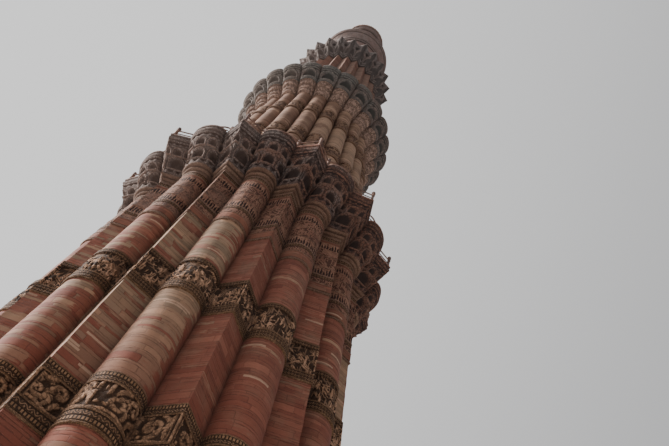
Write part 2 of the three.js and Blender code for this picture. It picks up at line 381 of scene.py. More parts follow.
def weathered(finish, base, soot_and_shade, streaks=0.5, dust_and_light=0.0):
    """Dark growth in patches and down the face, with painted shade where the soot attribute darkens the
    valleys, and a fine grain. Pale dust with painted light lies on the side towards -X, the key light's side,
    from the third frieze up. Gives the colour and the grain."""
    place = finish.place()
    patches = finish.noise(place, 1.3, 5.0, 0.6)
    if dust_and_light:
        x, _, z = finish.parts(place)
        # Pale dust and painted light: paler towards -X, the key light's side, from the third frieze up.
        lit_side_dust = (x * -0.25 + patches - 0.5).step(0.1, 0.6) * z.step(10.5, 12.0)
        base = finish.mix(lit_side_dust * dust_and_light, base, PALE_DUST_AND_LIGHT)
    runs = finish.noise(finish.stretched(place, (3.0, 3.0, 0.3)), 1.6, 4.0, 0.6)
    grain = finish.noise(place, 60.0, 3.0, 0.6)
    dirt = (patches.step(0.45, 0.75) * 0.5 + runs.step(0.5, 0.75) * streaks).min(1.0)
    # Dirt in patches and streaks, and painted shade from the soot attribute in the valleys.
    grime_and_shade = (dirt * 0.4 + soot_and_shade * 0.75).min(1.0)
    toned = finish.darken(base, 0.80 + grain * 0.40)
    return finish.mix(grime_and_shade * 0.7, toned, DARK_GROWTH_AND_SHADE), grain


def masonry(name, warm, deep, cream, grey, mapped="course_map", tall=0.40, streaks=0.5):
    """Coursed stones of two kinds. Each step of so many metres holds three courses, or two where a split is
    left out, at heights drawn for that step. A stone is pale where its draw falls under the share of pale."""
    finish = Finish(name)
    u, v = getattr(finish, mapped)()
    course = mapped == "course_map"
    share = finish.attribute("pale") if course else BLOCK_PALE
    pull = (share * 3.0).min(0.9) if course else BLOCK_PALE * 3.0
    ringed = finish.attribute("ringed") if course else 0.3
    soot_and_shade = finish.attribute("soot_and_shade") if course else 0.1
    ragged = finish.noise(finish.vector(u, v, 2.0), 7.0, 3.0) - 0.5
    sag = finish.noise(finish.vector(u * 0.35, v * 0.3, 3.0), 1.0, 2.0)
    u = u + ragged * 0.07
    v = v + ragged * 0.022 + sag * 0.12
    rise = v / tall
    row = rise.floor()
    up = rise.fract()
    first = finish.dice(row, 5.0) * 0.35 + 0.2
    second = first + 0.16 + finish.dice(row, 6.0) * 0.22 + (finish.dice(row, 8.0) < 0.3) * 2.0
    thin = row * 3.0 + (up > first) + (up > second)
    bed = up.min(1 - up).min((up - first).abs()).min((up - second).abs()) * tall
    length = finish.dice(thin, 11.0) * 0.9 + 0.5
    along = u / length + finish.dice(thin, 7.0) * 5.0
    column = along.floor()
    head = along.fract()
    head = head.min(1 - head) * length
    draw = finish.dice(thin, column, 1.0)
    draw = draw + (finish.dice(thin, 7.5) - draw) * ringed
    clump = finish.noise(finish.vector(u * 0.9, v * 1.5, 8.0), 1.0, 2.0)
    soft = finish.noise(finish.vector(u, v * 4.0, 5.0), 4.0, 3.0)
    clumped = (clump - 0.5) * pull
    pale = 1 - (draw + clumped + (soft - 0.5) * 0.35 - share).step(-0.06, 0.06)
    reddish = finish.mix(finish.dice(thin, column, 2.0), warm, deep)
    light = finish.mix(finish.dice(thin, column, 3.0), cream, grey)
    bedding = finish.noise(finish.vector(u * 0.7, v * 9.0, draw * 20.0), 2.2, 4.0, 0.6)
    light = finish.mix(bedding.step(0.5, 0.8) * 0.4, light, warm)
    stone = finish.mix(pale, reddish, light)
    lichen = finish.noise(finish.vector(u, v, 21.0), 1.1, 4.0, 0.6)
    stone = finish.mix(lichen.step(0.45, 0.75) * 0.5, stone, grey)
    blotch = finish.noise(finish.vector(u * 0.8, v * 0.5, 11.0), 1.6, 4.0, 0.6)
    lines = (bedding - 0.5) * (ringed * 0.5 + 0.4)
    tone = 0.82 + lines + blotch * 0.36 + (finish.dice(thin, 3.3) - 0.5) * (ringed * 0.15 + 0.22)
    stone = finish.darken(stone, tone)
    if course:
        stone = finish.mix((1 - v.step(*RUDDY_BELOW)) * 0.5, stone, RUDDY_STONE)
    cell_rise = v / 0.11
    cell_along = u / 0.75 + finish.dice(cell_rise.floor(), 5.0) * 9.0
    inset = (cell_rise.fract() - 0.5).abs() < 0.38
    sliver = (finish.dice(cell_rise.floor(), cell_along.floor(), 9.0) > 0.982) * inset
    stone = finish.mix(sliver * 0.9, stone, SLIVER_STONE)
    bed_gap = 1 - bed.step(0.003, finish.dice(thin, 12.0) * 0.028 + 0.010)
    head_gap = 1 - head.step(0.003, 0.012)
    joint = (bed_gap * soft.step(0.3, 0.6)).max(head_gap * 0.7)
    stone = finish.mix(joint * 0.5, stone, OPEN_JOINT)
    toned, grain = weathered(finish, stone, soot_and_shade, streaks)
    height = (1 - joint) * 0.5 + draw * 0.2 + bedding * 0.2 + grain * 0.1
    finish.shade(toned, 0.88, height, 0.012)
    return finish.material


def carved(name, ground, face, edge, cell=0.05, tall=1.0, gap=0.10, streaks=0.4):
    """Carved stone: dark in the cut ground, with dirt and painted shade, and lighter on the relief. Narrow
    dark gaps of painted shade part the relief, along the edges of bent cells of about that size, which are so
    many times taller than wide."""
    finish = Finish(name)
    cut = finish.attribute("carve")
    u, v = finish.course_map()
    bend = finish.noise(finish.vector(u, v, 4.0), 3.0, 2.0) - 0.5
    swirl = finish.noise(finish.vector(u, v, 9.0), 3.0, 2.0) - 0.5
    bent = finish.vector(u + bend * cell * 3.5, (v + swirl * cell * 3.5) / tall)
    apart = finish.cell_edge(bent, 1 / cell)
    shut = apart.step(gap * 0.4, gap)
    top = finish.blotched(4.0, face, edge)
    # Dirt and painted shade in the cut ground, and painted shade in the narrow gaps.
    base = finish.mix(cut.step(0.2, 0.9) * (shut * 0.5 + 0.5), ground, top)
    toned, grain = weathered(finish, base, finish.attribute("soot_and_shade"), streaks, dust_and_light=0.3)
    finish.shade(toned, 0.9, grain * 0.3 + shut * 0.7, 0.02)
    return finish.material


def interlaced(name, ground, face, edge, width=0.065, reach=0.50, streaks=0.4):
    """Close carving of thin straight strokes that cross at three angles. Each angle has bent cells of that
    width and reach. A cell drawn above its angle's share is a raised stroke, and the rest is cut ground, dark
    with dirt and painted shade."""
    finish = Finish(name)
    cut = finish.attribute("carve")
    u, v = finish.course_map()
    bend = (finish.noise(finish.vector(u, v, 4.0), 2.5, 2.0) - 0.5) * width * 2
    strokes = []
    for angle, share in ((0.12, 0.42), (-0.75, 0.58), (1.15, 0.64)):
        across = (u * math.cos(angle) - v * math.sin(angle) + bend) / width
        onward = (u * math.sin(angle) + v * math.cos(angle)) / reach
        at = {"Vector": finish.vector(across, onward, angle), "Scale": 1.0, "Randomness": 0.6}
        apart = finish.add("ShaderNodeTexVoronoi", {"feature": "DISTANCE_TO_EDGE"}, at, "Distance")
        draw = finish.parts(finish.add("ShaderNodeTexVoronoi", {"feature": "F1"}, at, "Color"))[0]
        strokes.append(apart.step(0.08, 0.18) * (draw > share))
    raised = strokes[0].max(strokes[1]).max(strokes[2])
    top = finish.blotched(4.0, face, edge)
    # Dirt and painted shade: the cut ground between the strokes is dark.
    base = finish.mix(raised * (cut.step(0.15, 0.8) * 0.6 + 0.4), ground, top)
    toned, grain = weathered(finish, base, finish.attribute("soot_and_shade"), streaks, dust_and_light=0.3)
    finish.shade(toned, 0.9, grain * 0.2 + raised * 0.8, 0.025)
    return finish.material


def border(name, ground, face, edge, pitch, vine=False):
    """A narrow border. Square teeth are raised within 0.3 of a pitch's middle. A vine's stem follows
    y = 0.26 sin(2 pi x), with a bud in each bend; x runs along a pitch, and y up the border."""
    finish = Finish(name)
    u, v = finish.course_map()
    x = (u / pitch).fract() - 0.5
    y = finish.attribute("rise") - 0.5
    if vine:
        stem = (y - (x * 2 * math.pi).math("SINE") * 0.26).abs()
        bud = (x.abs() - 0.25).abs().max(((y + x.math("SIGN") * 0.24) * 0.5).abs())
        raised = 1 - stem.step(0.07, 0.17).min(bud.step(0.06, 0.13))
    else:
        raised = (1 - x.abs().step(0.26, 0.34)) * (1 - y.abs().step(0.34, 0.42))
    worn = finish.noise(finish.place(), 26.0, 3.0)
    # Dirt and painted shade: the ground round the teeth or the vine is dark.
    base = finish.mix(raised * worn.step(0.25, 0.5), ground, finish.blotched(5.0, face, edge))
    toned, grain = weathered(finish, base, finish.attribute("soot_and_shade"), 0.4)
    finish.shade(toned, 0.9, raised * 0.8 + grain * 0.2, 0.012)
    return finish.material


def fringe(name, ground, face, edge, pitch):
    """Narrow pointed hollows, one to a pitch, between worn upright bars that lean a little. A hollow's half
    width is 0.30 of a pitch, and falls to 0 at a height drawn for each."""
    finish = Finish(name)
    u, v = finish.course_map()
    y = finish.attribute("rise")
    lean = finish.noise(finish.vector(u, v, 6.0), 6.0, 2.0) - 0.5
    place = u / pitch + lean * 0.9
    top = finish.dice(place.floor(), 31.0) * 0.50 + 0.60
    half = 0.30 * (1 - (y - top).step(-0.45, 0.0))
    bars = ((place.fract() - 0.5).abs() - half).max(0.10 - y).step(-0.05, 0.08)
    worn = finish.noise(finish.place(), 22.0, 3.0)
    raised = bars * worn.step(0.30, 0.50)
    # Dirt and painted shade: the hollows between the bars are dark.
    base = finish.mix(raised, ground, finish.blotched(5.0, face, edge))
    toned, grain = weathered(finish, base, finish.attribute("soot_and_shade"), 0.4)
    finish.shade(toned, 0.9, raised * 0.8 + grain * 0.2, 0.025)
    return finish.material


def stained(name, warm, grey, dark, rim, broken=1.0):
    """Red stone gone grey in patches, near black in its hollows with dirt and painted shade, and paler on its
    rims as a painted highlight. Dark crust and cracks cover it by the share broken."""
    finish = Finish(name)
    place = finish.place()
    cut = finish.attribute("carve")
    patches = finish.noise(place, 1.8, 5.0, 0.65)
    specks = finish.noise(place, 16.0, 5.0, 0.7)
    crust = finish.noise(place, 5.0, 4.0, 0.6)
    # Painted light: the grey patches spread further towards -X, the key light's side.
    lit_side_grey = finish.parts(place)[0] * LIT_SIDE_GREYING
    top = finish.mix((patches + lit_side_grey).step(0.38, 0.62), warm, grey)
    top = finish.mix(crust.step(0.45, 0.68) * 0.6 * broken, top, dark)
    top = finish.darken(top, 1.0 + (specks - 0.5) * 1.1 * broken)
    bent = finish.vector(*[part + crust * 0.14 for part in finish.parts(place)])
    apart = finish.cell_edge(bent, 14.0)
    top = finish.mix((1 - apart.step(0.03, 0.13)) * broken, top, dark)
    # Dirt and painted shade: the hollows are near black.
    base = finish.mix(cut.step(0.45, 1.02), dark, top)
    # Painted highlight: the rims are paler.
    base = finish.mix(cut.step(1.02, 1.12) * (specks * 1.2).min(1.0), base, rim)
    toned, grain = weathered(finish, base, finish.attribute("soot_and_shade"), 0.6, dust_and_light=0.25)
    finish.shade(toned, 0.92, grain * 0.3 + specks * 0.4 + crust * 0.3, 0.05)
    return finish.material


def rail_stone():
    """Dark stained stone for the posts and rails."""
    finish = Finish("rail_stone")
    place = finish.place()
    blotch = finish.noise(place, 9.0, 4.0)
    grain = finish.noise(place, 80.0, 3.0)
    base = finish.mix(blotch.step(0.35, 0.65), (0.09, 0.07, 0.065), (0.20, 0.14, 0.11))
    finish.shade(base, 0.85, blotch * 0.6 + grain * 0.4, 0.004)
    return finish.material


# Meshes

SHARP_ANGLE = math.radians(40)


def finished(name, mesh, nodes, materials):
    """Puts a mesh in the scene as a piece that rides with the tower and stands for its nodes."""
    for material in materials:
        mesh.materials.append(material)
    piece = bpy.data.objects.new(f"{name}_stone" if nodes else name, mesh)
    bpy.context.collection.objects.link(piece)
    if nodes:
        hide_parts(*nodes)
    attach(piece, "root")
    return piece


def quad_mesh(name, points, corners):
    """A mesh of quads from points in the real tower's metres and four corners for each face."""
    count = corners.shape[0]
    mesh = bpy.data.meshes.new(name)
    mesh.vertices.add(points.shape[0])
    mesh.vertices.foreach_set("co", (points * MODEL_SCALE).astype(np.float32).reshape(-1))
    mesh.loops.add(count * 4)
    mesh.loops.foreach_set("vertex_index", corners.astype(np.int32).reshape(-1))
    mesh.polygons.add(count)
    mesh.polygons.foreach_set("loop_start", np.arange(0, count * 4, 4, dtype=np.int32))
    mesh.polygons.foreach_set("use_smooth", np.ones(count, dtype=bool))
    mesh.update(calc_edges=True)
    return mesh


def grid_corners(rows, columns):
    """Four corners for each face of a grid that closes both ways."""
    row = np.arange(rows)[:, None]
    column = np.arange(columns)[None, :]
    above = (row + 1) % rows
    beside = (column + 1) % columns
    here, over = row * columns, above * columns
    return np.stack([here + column, here + beside, over + beside, over + column], axis=-1).reshape(-1, 4)


class Ring:
    """The columns of a ring round the tower, with each flute's own outline.

    A round flute is half an ellipse on its chord: out = chord + rise cos(pi t), across = half chord
    sin(pi t), for t from -1/2 to 1/2. An angular one is two straight faces that meet at its crest. A plain
    one lies on a circle.
    """

    def __init__(self, kinds, columns):
        self.columns = columns
        self.kinds = np.repeat(kinds, columns)
        self.flute = np.repeat(np.arange(FLUTES), columns)
        self.t = np.tile(np.linspace(-0.5, 0.5, columns, endpoint=False), FLUTES)
        self.direction = FIRST_DIRECTION + FLUTE_ANGLE * self.flute
        fade = np.clip((0.5 - np.abs(self.t)) / 0.05, 0, 1)
        self.fade = np.where(self.kinds == CIRCLE, 1.0, fade)

    def lengths(self, crest, valley):
        """Developed length of each column's flute."""
        half = valley * math.sin(HALF_FLUTE)
        rise = crest - valley * math.cos(HALF_FLUTE)
        corner = 2 * np.hypot(half, rise)
        oval = math.pi * np.sqrt((half ** 2 + rise ** 2) / 2)
        return np.select([self.kinds == CORNER, self.kinds == ROUND], [corner, oval], crest * FLUTE_ANGLE)

    def place(self, crest, valley, relief=0.0, push=0.0):
        """Plan points for rows of crest and valley radii, moved by relief along the outline's normal and by
        push straight out from the axis."""
        chord = valley * math.cos(HALF_FLUTE)
        half = valley * math.sin(HALF_FLUTE)
        rise = crest - chord
        turn = math.pi * self.t
        slant = np.hypot(half, rise)
        sign = np.sign(self.t)
        corner = self.kinds == CORNER
        circle = self.kinds == CIRCLE
        out = np.where(corner, chord + rise * (1 - 2 * np.abs(self.t)), chord + rise * np.cos(turn))
        across = np.where(corner, 2 * half * self.t, half * np.sin(turn))
        normal_out = np.where(corner, half / slant, np.cos(turn))
        normal_out = np.where(corner & (sign == 0), slant / half, normal_out)
        normal_across = np.where(corner, sign * rise / slant, np.sin(turn))
        angle = FLUTE_ANGLE * self.t
        out = np.where(circle, crest * np.cos(angle), out)
        across = np.where(circle, crest * np.sin(angle), across)
        normal_out = np.where(circle, np.cos(angle), normal_out)
        normal_across = np.where(circle, np.sin(angle), normal_across)
        out = out + relief * normal_out * self.fade
        across = across + relief * normal_across * self.fade
        x = out * np.cos(self.direction) - across * np.sin(self.direction)
        y = out * np.sin(self.direction) + across * np.cos(self.direction)
        shrink = 1 + push / np.hypot(x, y)
        return x * shrink, y * shrink

    def bore(self, height):
        """The stair shaft's circle at a height."""
        radius = SHAFT_GROUND - SHAFT_NARROWING * height
        angle = self.direction + FLUTE_ANGLE * self.t
        return radius * np.cos(angle), radius * np.sin(angle)


def node_span(node):
    """Lowest and highest level of a CAD node, and its widest radius along +X, in the real tower's metres."""
    low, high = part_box(node)
    return low.z / MODEL_SCALE, high.z / MODEL_SCALE, high.x / MODEL_SCALE


class Storey:
    """A storey's straight taper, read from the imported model: the crest's radius at any height."""

    def __init__(self, name, kinds, low_wall, high_wall):
        self.name = name
        self.kinds = kinds
        low, _, low_crest = node_span(f"{name}_{low_wall}")
        high, _, high_crest = node_span(f"{name}_{high_wall}")
        self.taper = (low_crest - high_crest) / (high - low)
        self.at_zero = low_crest + self.taper * low

    def crest(self, height):
        return self.at_zero - self.taper * height

    def valley(self, height):
        plain = self.kinds[0] == CIRCLE
        return self.crest(height) * (1.0 if plain else VALLEY_SHARE)


class Wall:
    """The outline of a course: its storey's taper, plus what the course stands out."""

    def __init__(self, storey, node):
        low, _, widest = node_span(node)
        self.storey = storey
        self.proud = widest - storey.crest(low)

    def radii(self, ring, levels, outs):
        crest = (self.storey.crest(levels) + self.proud + outs)[:, None] + 0 * ring.t
        plain = self.storey.kinds[0] == CIRCLE
        return crest, crest * (1.0 if plain else VALLEY_SHARE)


class Corbel:
    """The outline of a balcony's course: it spreads from the shaft, at 0, to the slab's outline, at 1."""

    def __init__(self, storey, top, slab, profile):
        self.storey = storey
        self.top = top
        self.corner, self.round, self.slab_valley = slab
        self.heights, self.spreads = zip(*profile)

    def radii(self, ring, levels, outs):
        spread = np.interp(levels, self.heights, self.spreads)[:, None]
        slab = np.where(ring.kinds == CORNER, self.corner, self.round)
        shaft = self.storey.crest(self.top)
        shaft_valley = self.storey.valley(self.top)
        crest = shaft + spread * (slab - shaft) + outs[:, None]
        valley = shaft_valley + spread * (self.slab_valley - shaft_valley) + outs[:, None]
        return crest, valley


# The stones of a carved course, by their place in its list of materials. A collar has its lined carving as
# the relief, and plain stone and a fringe after the others. A corbel's or slab's second stone is its trim.
RELIEF, TRIM, TEETH, VINE, PLAIN_STONE, FRINGE = range(6)


def strip(height, out=0.0, rows=1, bulge=0.0, relief=None, depth=0.0, push=0.0, stone=0, unshaded=1.0):
    """One level part of a course: its height, what it stands out, and the relief cut into it. The cut goes in
    by depth along the normal, or by push towards the axis. A strip whose unshaded share is below 1 gets
    painted shade: its stone is darker."""
    return dict(height=height, out=out, rows=rows, bulge=bulge, relief=relief, depth=depth, push=push,
                stone=stone, unshaded=unshaded)


def fillet(height, out, rows=1, bulge=0.0):
    """Plain trim stone, flat or a roll."""
    return strip(height, out, rows, bulge, stone=TRIM)


def groove(height, out, unshaded=0.2):
    """A narrow groove in the trim stone, darkened as painted shade."""
    return strip(height, out, stone=TRIM, unshaded=unshaded)


def ring_course(node, kinds, outline, strips, columns, materials, attributes=None, crumbled=0.0):
    """Strips stacked from the node's underside to its top, and closed by the stair shaft's wall inside.

    Each point is the outline at its level, less the cut: depth (raised - 1) along the normal, with raised
    from 0 in the ground to 1 on the face. A crumbled course is broken by so many metres more. Dark growth
    and painted shade lie in the valleys between the flutes.
    """
    low, high, _ = node_span(node)
    ring = Ring(kinds, columns)
    stretch = (high - low) / sum(part["height"] for part in strips)
    levels, outs, cuts, pushes, carve_shades, stones, rises = [], [], [], [], [], [], []
    level = low
    for part in strips:
        share = np.linspace(0, 1, part["rows"] + 1)
        tall = part["height"] * stretch
        lift = 0.002 if levels else 0.0
        here = level + lift + share * (tall - lift)
        out = part["out"] + part["bulge"] * np.sin(math.pi * share)
        # Painted shade: a roll's stone is darker towards its edges and lighter on its middle.
        roll_shading = np.sin(math.pi * share) if part["bulge"] > 0.02 else np.ones(share.size)
        raised = np.ones((share.size, ring.t.size))
        if part["relief"] is not None:
            crest, valley = outline.radii(ring, here, out)
            raised = part["relief"](ring, share * tall, tall, ring.lengths(crest, valley).mean(axis=0))
        levels.append(here)
        outs.append(out)
        cuts.append((raised - 1) * part["depth"])
        pushes.append((raised - 1) * part["push"])
        # The carve attribute darkens the stone where it is low: dirt and painted shade in the cut ground, and
        # painted shade in grooves and at the edges of rolls.
        carve_shades.append(raised * (part["unshaded"] * (0.5 + 0.5 * roll_shading))[:, None])
        stones.append(np.full(share.size, part["stone"]))
        rises.append(share)
        level += tall
    levels = np.concatenate(levels)
    crest, valley = outline.radii(ring, levels, np.concatenate(outs))
    broken = crumbled * waves(ring, levels) if crumbled else 0.0
    x, y = ring.place(crest, valley, np.concatenate(cuts), np.concatenate(pushes) + broken)
    outer = np.stack([x, y, np.broadcast_to(levels[:, None], x.shape)], axis=-1)
    inner = [np.stack([*ring.bore(height), np.full(ring.t.size, height)], axis=-1) for height in (high, low)]
    points = np.concatenate([outer, inner])
    rows = points.shape[0]
    mesh = quad_mesh(node, points.reshape(-1, 3), grid_corners(rows, ring.t.size))

    length = ring.lengths(crest, valley).mean(axis=0)
    left = ring.flute * FLUTE_PITCH + (ring.t + 0.5) * length
    right = left + length / columns
    up = np.array([*levels, high + 1, low - 1])
    over = np.array([*levels[1:], high + 1, high + 2, low])
    uv = np.empty((rows, ring.t.size, 4, 2))
    uv[:, :, 0, 0] = uv[:, :, 3, 0] = left
    uv[:, :, 1, 0] = uv[:, :, 2, 0] = right
    uv[:, :, 0, 1] = uv[:, :, 1, 1] = up[:, None]
    uv[:, :, 2, 1] = uv[:, :, 3, 1] = over[:, None]
    mesh.uv_layers.new(name="course").data.foreach_set("uv", uv.astype(np.float32).reshape(-1))

    # Painted shade with some dark growth: darker towards the valleys between the flutes.
    valley_soot_and_shade = np.clip((np.abs(ring.t) - 0.34) / 0.16, 0, 1) ** 2 * 0.6
    values = {
        "carve": np.concatenate([*carve_shades, np.ones((2, ring.t.size))]),
        "rise": np.concatenate([*rises, [0.5, 0.5]])[:, None] + 0 * ring.t,
        "soot_and_shade": np.where(ring.kinds == CIRCLE, 0.1, valley_soot_and_shade),
        **{key: value(ring) for key, value in (attributes or {}).items()},
    }
    for key, value in values.items():
        layer = mesh.attributes.new(key, "FLOAT", "POINT")
        spread = np.broadcast_to(value, points.shape[:2]).astype(np.float32)
        layer.data.foreach_set("value", spread.reshape(-1))
    row_stones = np.concatenate([*stones, [stones[-1][0], stones[0][0]]])
    mesh.polygons.foreach_set("material_index", np.repeat(row_stones, ring.t.size).astype(np.int32))
    mesh.set_sharp_from_angle(angle=SHARP_ANGLE)
    return finished(node, mesh, [node], materials)


def waves(ring, levels, seed=5, count=60):
    """A broken surface, from about -1 to 1: the sum of sin(n angle + m height + start) over drawn waves, each
    with a whole number n of waves round the tower."""
    rng = np.random.default_rng(seed)
    around = rng.integers(70, 340, count) * rng.choice([-1, 1], count)
    upward = rng.uniform(-42, 42, count)
    start = rng.uniform(0, 2 * math.pi, count)
    angle = ring.direction + FLUTE_ANGLE * ring.t
    phase = around * angle[None, :, None] + upward * levels[:, None, None] + start
    return np.sin(phase).sum(axis=-1) / math.sqrt(count * 2)


# Reliefs. Each gives raised, from 0 in the ground to 1 on the face, for heights v up a strip of one height.

def cells(ring, count, shift=0.0):
    """How far each column is from the middle of its cell, from -1/2 to 1/2, with count cells to a flute."""
    place = (ring.t + 0.5) * count + shift
    return place - np.floor(place) - 0.5


def eased(value, low, high):
    """0 below low, 1 above high, and 3 s^2 - 2 s^3 between."""
    share = np.clip((value - low) / (high - low), 0, 1)
    return share * share * (3 - 2 * share)


def leaves(count, shift=0.0):
    """Upright leaves with round heads: raised below y = 0.35 + 0.6 cos(pi x)."""
    def relief(ring, v, height, length):
        x = cells(ring, count, shift)[None, :]
        y = (v / height)[:, None]
        rib = 0.25 * np.exp(-(x / 0.08) ** 2)
        return (1 - eased(y - 0.35 - 0.6 * np.cos(math.pi * x) ** 1.5, -0.05, 0.1)) * (0.8 + rib)
    return relief


def niches(corner_count, round_count, shift=0.0, wide=0.38, springing=0.42, base=0.06):
    """Pointed-arch hollows with a raised rim and a groove round it. The depth follows d, the distance to the
    arch: |x| - half width up to the springing, and above it the distance from a centre past the middle, less
    the arc's radius."""
    def relief(ring, v, height, length):
        count = np.where(ring.kinds == CORNER, corner_count, round_count)
        width = length / count
        x = np.abs(cells(ring, count, shift)) * width
        half = width * wide
        y = v[:, None]
        past = half * 0.25
        arc = np.hypot(x + past, (y - springing * height)) - (half + past)
        d = np.where(y < springing * height, x - half, arc)
        d = np.maximum(d, base * height - y)
        hollow = eased(d, -0.10, 0.015)
        rim = 0.14 * np.exp(-((d - 0.04) / 0.03) ** 2)
        channel = 0.30 * np.exp(-((d - 0.105) / 0.025) ** 2)
        return hollow + rim - channel
    return relief


# Where a tip is cut back: the share of t on both sides of a crest.
TIP_SHARE = 0.2


def blunt(inner):
    """A relief with the angular flutes' tips cut back as well."""
    def relief(ring, v, height, length):
        return inner(ring, v, height, length) * np.clip(np.abs(ring.t) / TIP_SHARE, 0, 1)
    return relief


def stroke(x, y, width):
    """Points along a cut line, with its half width at each."""
    return np.column_stack(np.broadcast_arrays(x, y, width))


def scroll(centre_x, centre_y, radius, start, turns, hand):
    """A spiral: r = radius (1 - 0.85 s), turned by 2 pi turns s, and thinner towards its middle."""
    s = np.linspace(0, 1, 60)
    r = radius * (1 - 0.85 * s)
    angle = start + hand * 2 * math.pi * turns * s
    return stroke(centre_x + r * np.cos(angle), centre_y + r * np.sin(angle), 0.058 - 0.026 * s)


def blade(x0, y0, x1, y1, bow, width):
    """A leaf from one point to another, bowed to one side and widest at its middle: width sin(pi s)."""
    s = np.linspace(0, 1, 16)
    side = bow * np.sin(math.pi * s)
    x = x0 + (x1 - x0) * s - (y1 - y0) * side
    y = y0 + (y1 - y0) * s + (x1 - x0) * side
    return stroke(x, y, width * (0.35 + 0.65 * np.sin(math.pi * s)))


def scattered(rng, wide, tall, count, width):
    """Small leaves strewn over a panel."""
    strewn = []
    for _ in range(count):
        x = rng.uniform(0.02, 0.96) * wide
        y = rng.uniform(0.14, 0.95) * tall
        turn = rng.uniform(0, 2 * math.pi)
        reach = rng.uniform(0.07, 0.16)
        strewn.append(blade(x, y, x + reach * math.cos(turn), y + reach * math.sin(turn), 0.3, width))
    return strewn


def scrolls(rng, wide, tall):
    """A carved panel of broad scrolls and upright leaves over a stem."""
    jolt = rng.uniform(-0.06, 0.06, 6)
    s = np.linspace(0, 1, 40)
    stem = stroke(wide * s, tall * (0.07 + 0.04 * np.sin(2 * math.pi * s)), 0.032)
    small = scattered(rng, wide, tall, 15, 0.032)
    if rng.random() < 0.5:
        return [
            stem,
            scroll(wide * (0.42 + jolt[0]), tall * 0.56, tall * 0.34, -1.6, 1.3, 1),
            blade(wide * 0.80, tall * 0.12, wide * (0.86 + jolt[1]), tall * 0.97, 0.10, 0.060),
            blade(wide * 0.98, tall * 0.28, wide * 0.96, tall * 0.85, -0.15, 0.050),
            blade(wide * 0.04, tall * 0.30, wide * 0.10, tall * 0.96, 0.16, 0.054),
            blade(wide * 0.55, tall * 0.97, wide * 0.74, tall * 0.66, 0.20, 0.044),
            *small,
        ]
    return [
        stem,
        scroll(wide * 0.28, tall * (0.44 + jolt[0]), tall * 0.24, 0.4, 1.1, -1),
        scroll(wide * 0.72, tall * (0.68 + jolt[1]), tall * 0.25, 3.6, 1.1, -1),
        blade(wide * 0.20, tall * 0.70, wide * 0.48, tall * 0.97, 0.2, 0.056),
        blade(wide * 0.52, tall * 0.14, wide * 0.50, tall * 0.62, -0.15, 0.054),
        blade(wide * 0.70, tall * 0.12, wide * 0.97, tall * 0.42, 0.25, 0.056),
        blade(wide * 0.04, tall * 0.62, wide * 0.07, tall * 0.97, 0.0, 0.046),
        *small,
    ]


def reeds(rng, wide, tall):
    """A carved panel of upright reeds that lean a little, with straight and bowed tendrils across them."""
    parts = scattered(rng, wide, tall, 5, 0.035)
    for place in np.linspace(0.04, 0.94, 6):
        x = wide * (place + rng.uniform(-0.04, 0.04))
        lean = wide * rng.uniform(-0.16, 0.16)
        foot = tall * rng.uniform(0.04, 0.25)
        head = foot + tall * rng.uniform(0.45, 0.70)
        parts.append(blade(x, foot, x + lean, head, rng.uniform(-0.06, 0.06), 0.045))
    for _ in range(6):
        x = wide * rng.uniform(0.0, 0.7)
        y = tall * rng.uniform(0.1, 0.9)
        reach = wide * rng.uniform(0.18, 0.40)
        rise = tall * rng.uniform(-0.25, 0.25)
        parts.append(blade(x, y, x + reach, y + rise, rng.choice([-0.35, 0.0, 0.3]), 0.040))
    return parts


def frieze(seed, panel=scrolls):
    """Carved panels, two to a flute. With d the distance to a stroke less its half width, the stone is raised
    where the smallest d is below 0, and cut by a groove where the two smallest are equal."""
    def relief(ring, v, height, length):
        rng = np.random.default_rng(seed)
        raised = np.zeros((v.size, ring.t.size))
        wide_columns = ring.columns // 2
        for number in range(FLUTES * 2):
            columns = slice(number * wide_columns, (number + 1) * wide_columns)
            wide = length[columns][0] / 2
            strokes = panel(rng, wide, height)
            starts = np.cumsum([0] + [len(points) for points in strokes[:-1]])
            marks = np.concatenate(strokes)
            u = np.linspace(0, wide, wide_columns, endpoint=False)
            d = np.hypot(u[None, :, None] - marks[:, 0], v[:, None, None] - marks[:, 1]) - marks[:, 2]
            nearest = np.partition(np.minimum.reduceat(d, starts, axis=-1), 1, axis=-1)
            face = 1 - eased(nearest[..., 0], -0.004, 0.036)
            apart = eased(nearest[..., 1] - nearest[..., 0], -0.01, 0.04)
            raised[:, columns] = np.minimum(face, apart)
        return framed(ring, raised)
    return relief


def framed(ring, raised):
    """Upright fillets beside the corners of the angular flutes, and in all the valleys."""
    t = np.abs(ring.t)
    at_crest = (ring.kinds == CORNER) & (t < 0.065)
    edging = np.where(t < 0.03, 1.0, np.where(t < 0.046, 0.0, 0.8))
    raised = np.where(at_crest, edging, raised)
    return np.where((t > 0.46) & (ring.kinds != CIRCLE), np.maximum(raised, 0.8), raised)


def level_face(ring, v, height, length):
    """A face with no relief."""
    return np.ones((v.size, ring.t.size))


# How much of a plain wall's depth its stones vary by.
UNEVENNESS = 1.2


def uneven(seed):
    """Stones that stand a little in or out, course by course."""
    def relief(ring, v, height, length):
        rng = np.random.default_rng(seed)
        return 1 + UNEVENNESS * (rng.random((v.size, ring.t.size)) - 0.5)
    return relief


# Rails, posts and arches

def capped(rows, count):
    """Four corners for each face of a tube of rows of points, closed at both ends. The count is even."""
    row = np.arange(rows - 1)[:, None] * count
    column = np.arange(count)[None, :]
    beside = (column + 1) % count
    side = np.stack([row + column, row + beside, row + count + beside, row + count + column], axis=-1)
    half = np.arange(count // 2 - 1)
    end = np.column_stack([half, half + 1, count - 2 - half, count - 1 - half])
    return np.concatenate([side.reshape(-1, 4), end[:, ::-1], end + (rows - 1) * count])


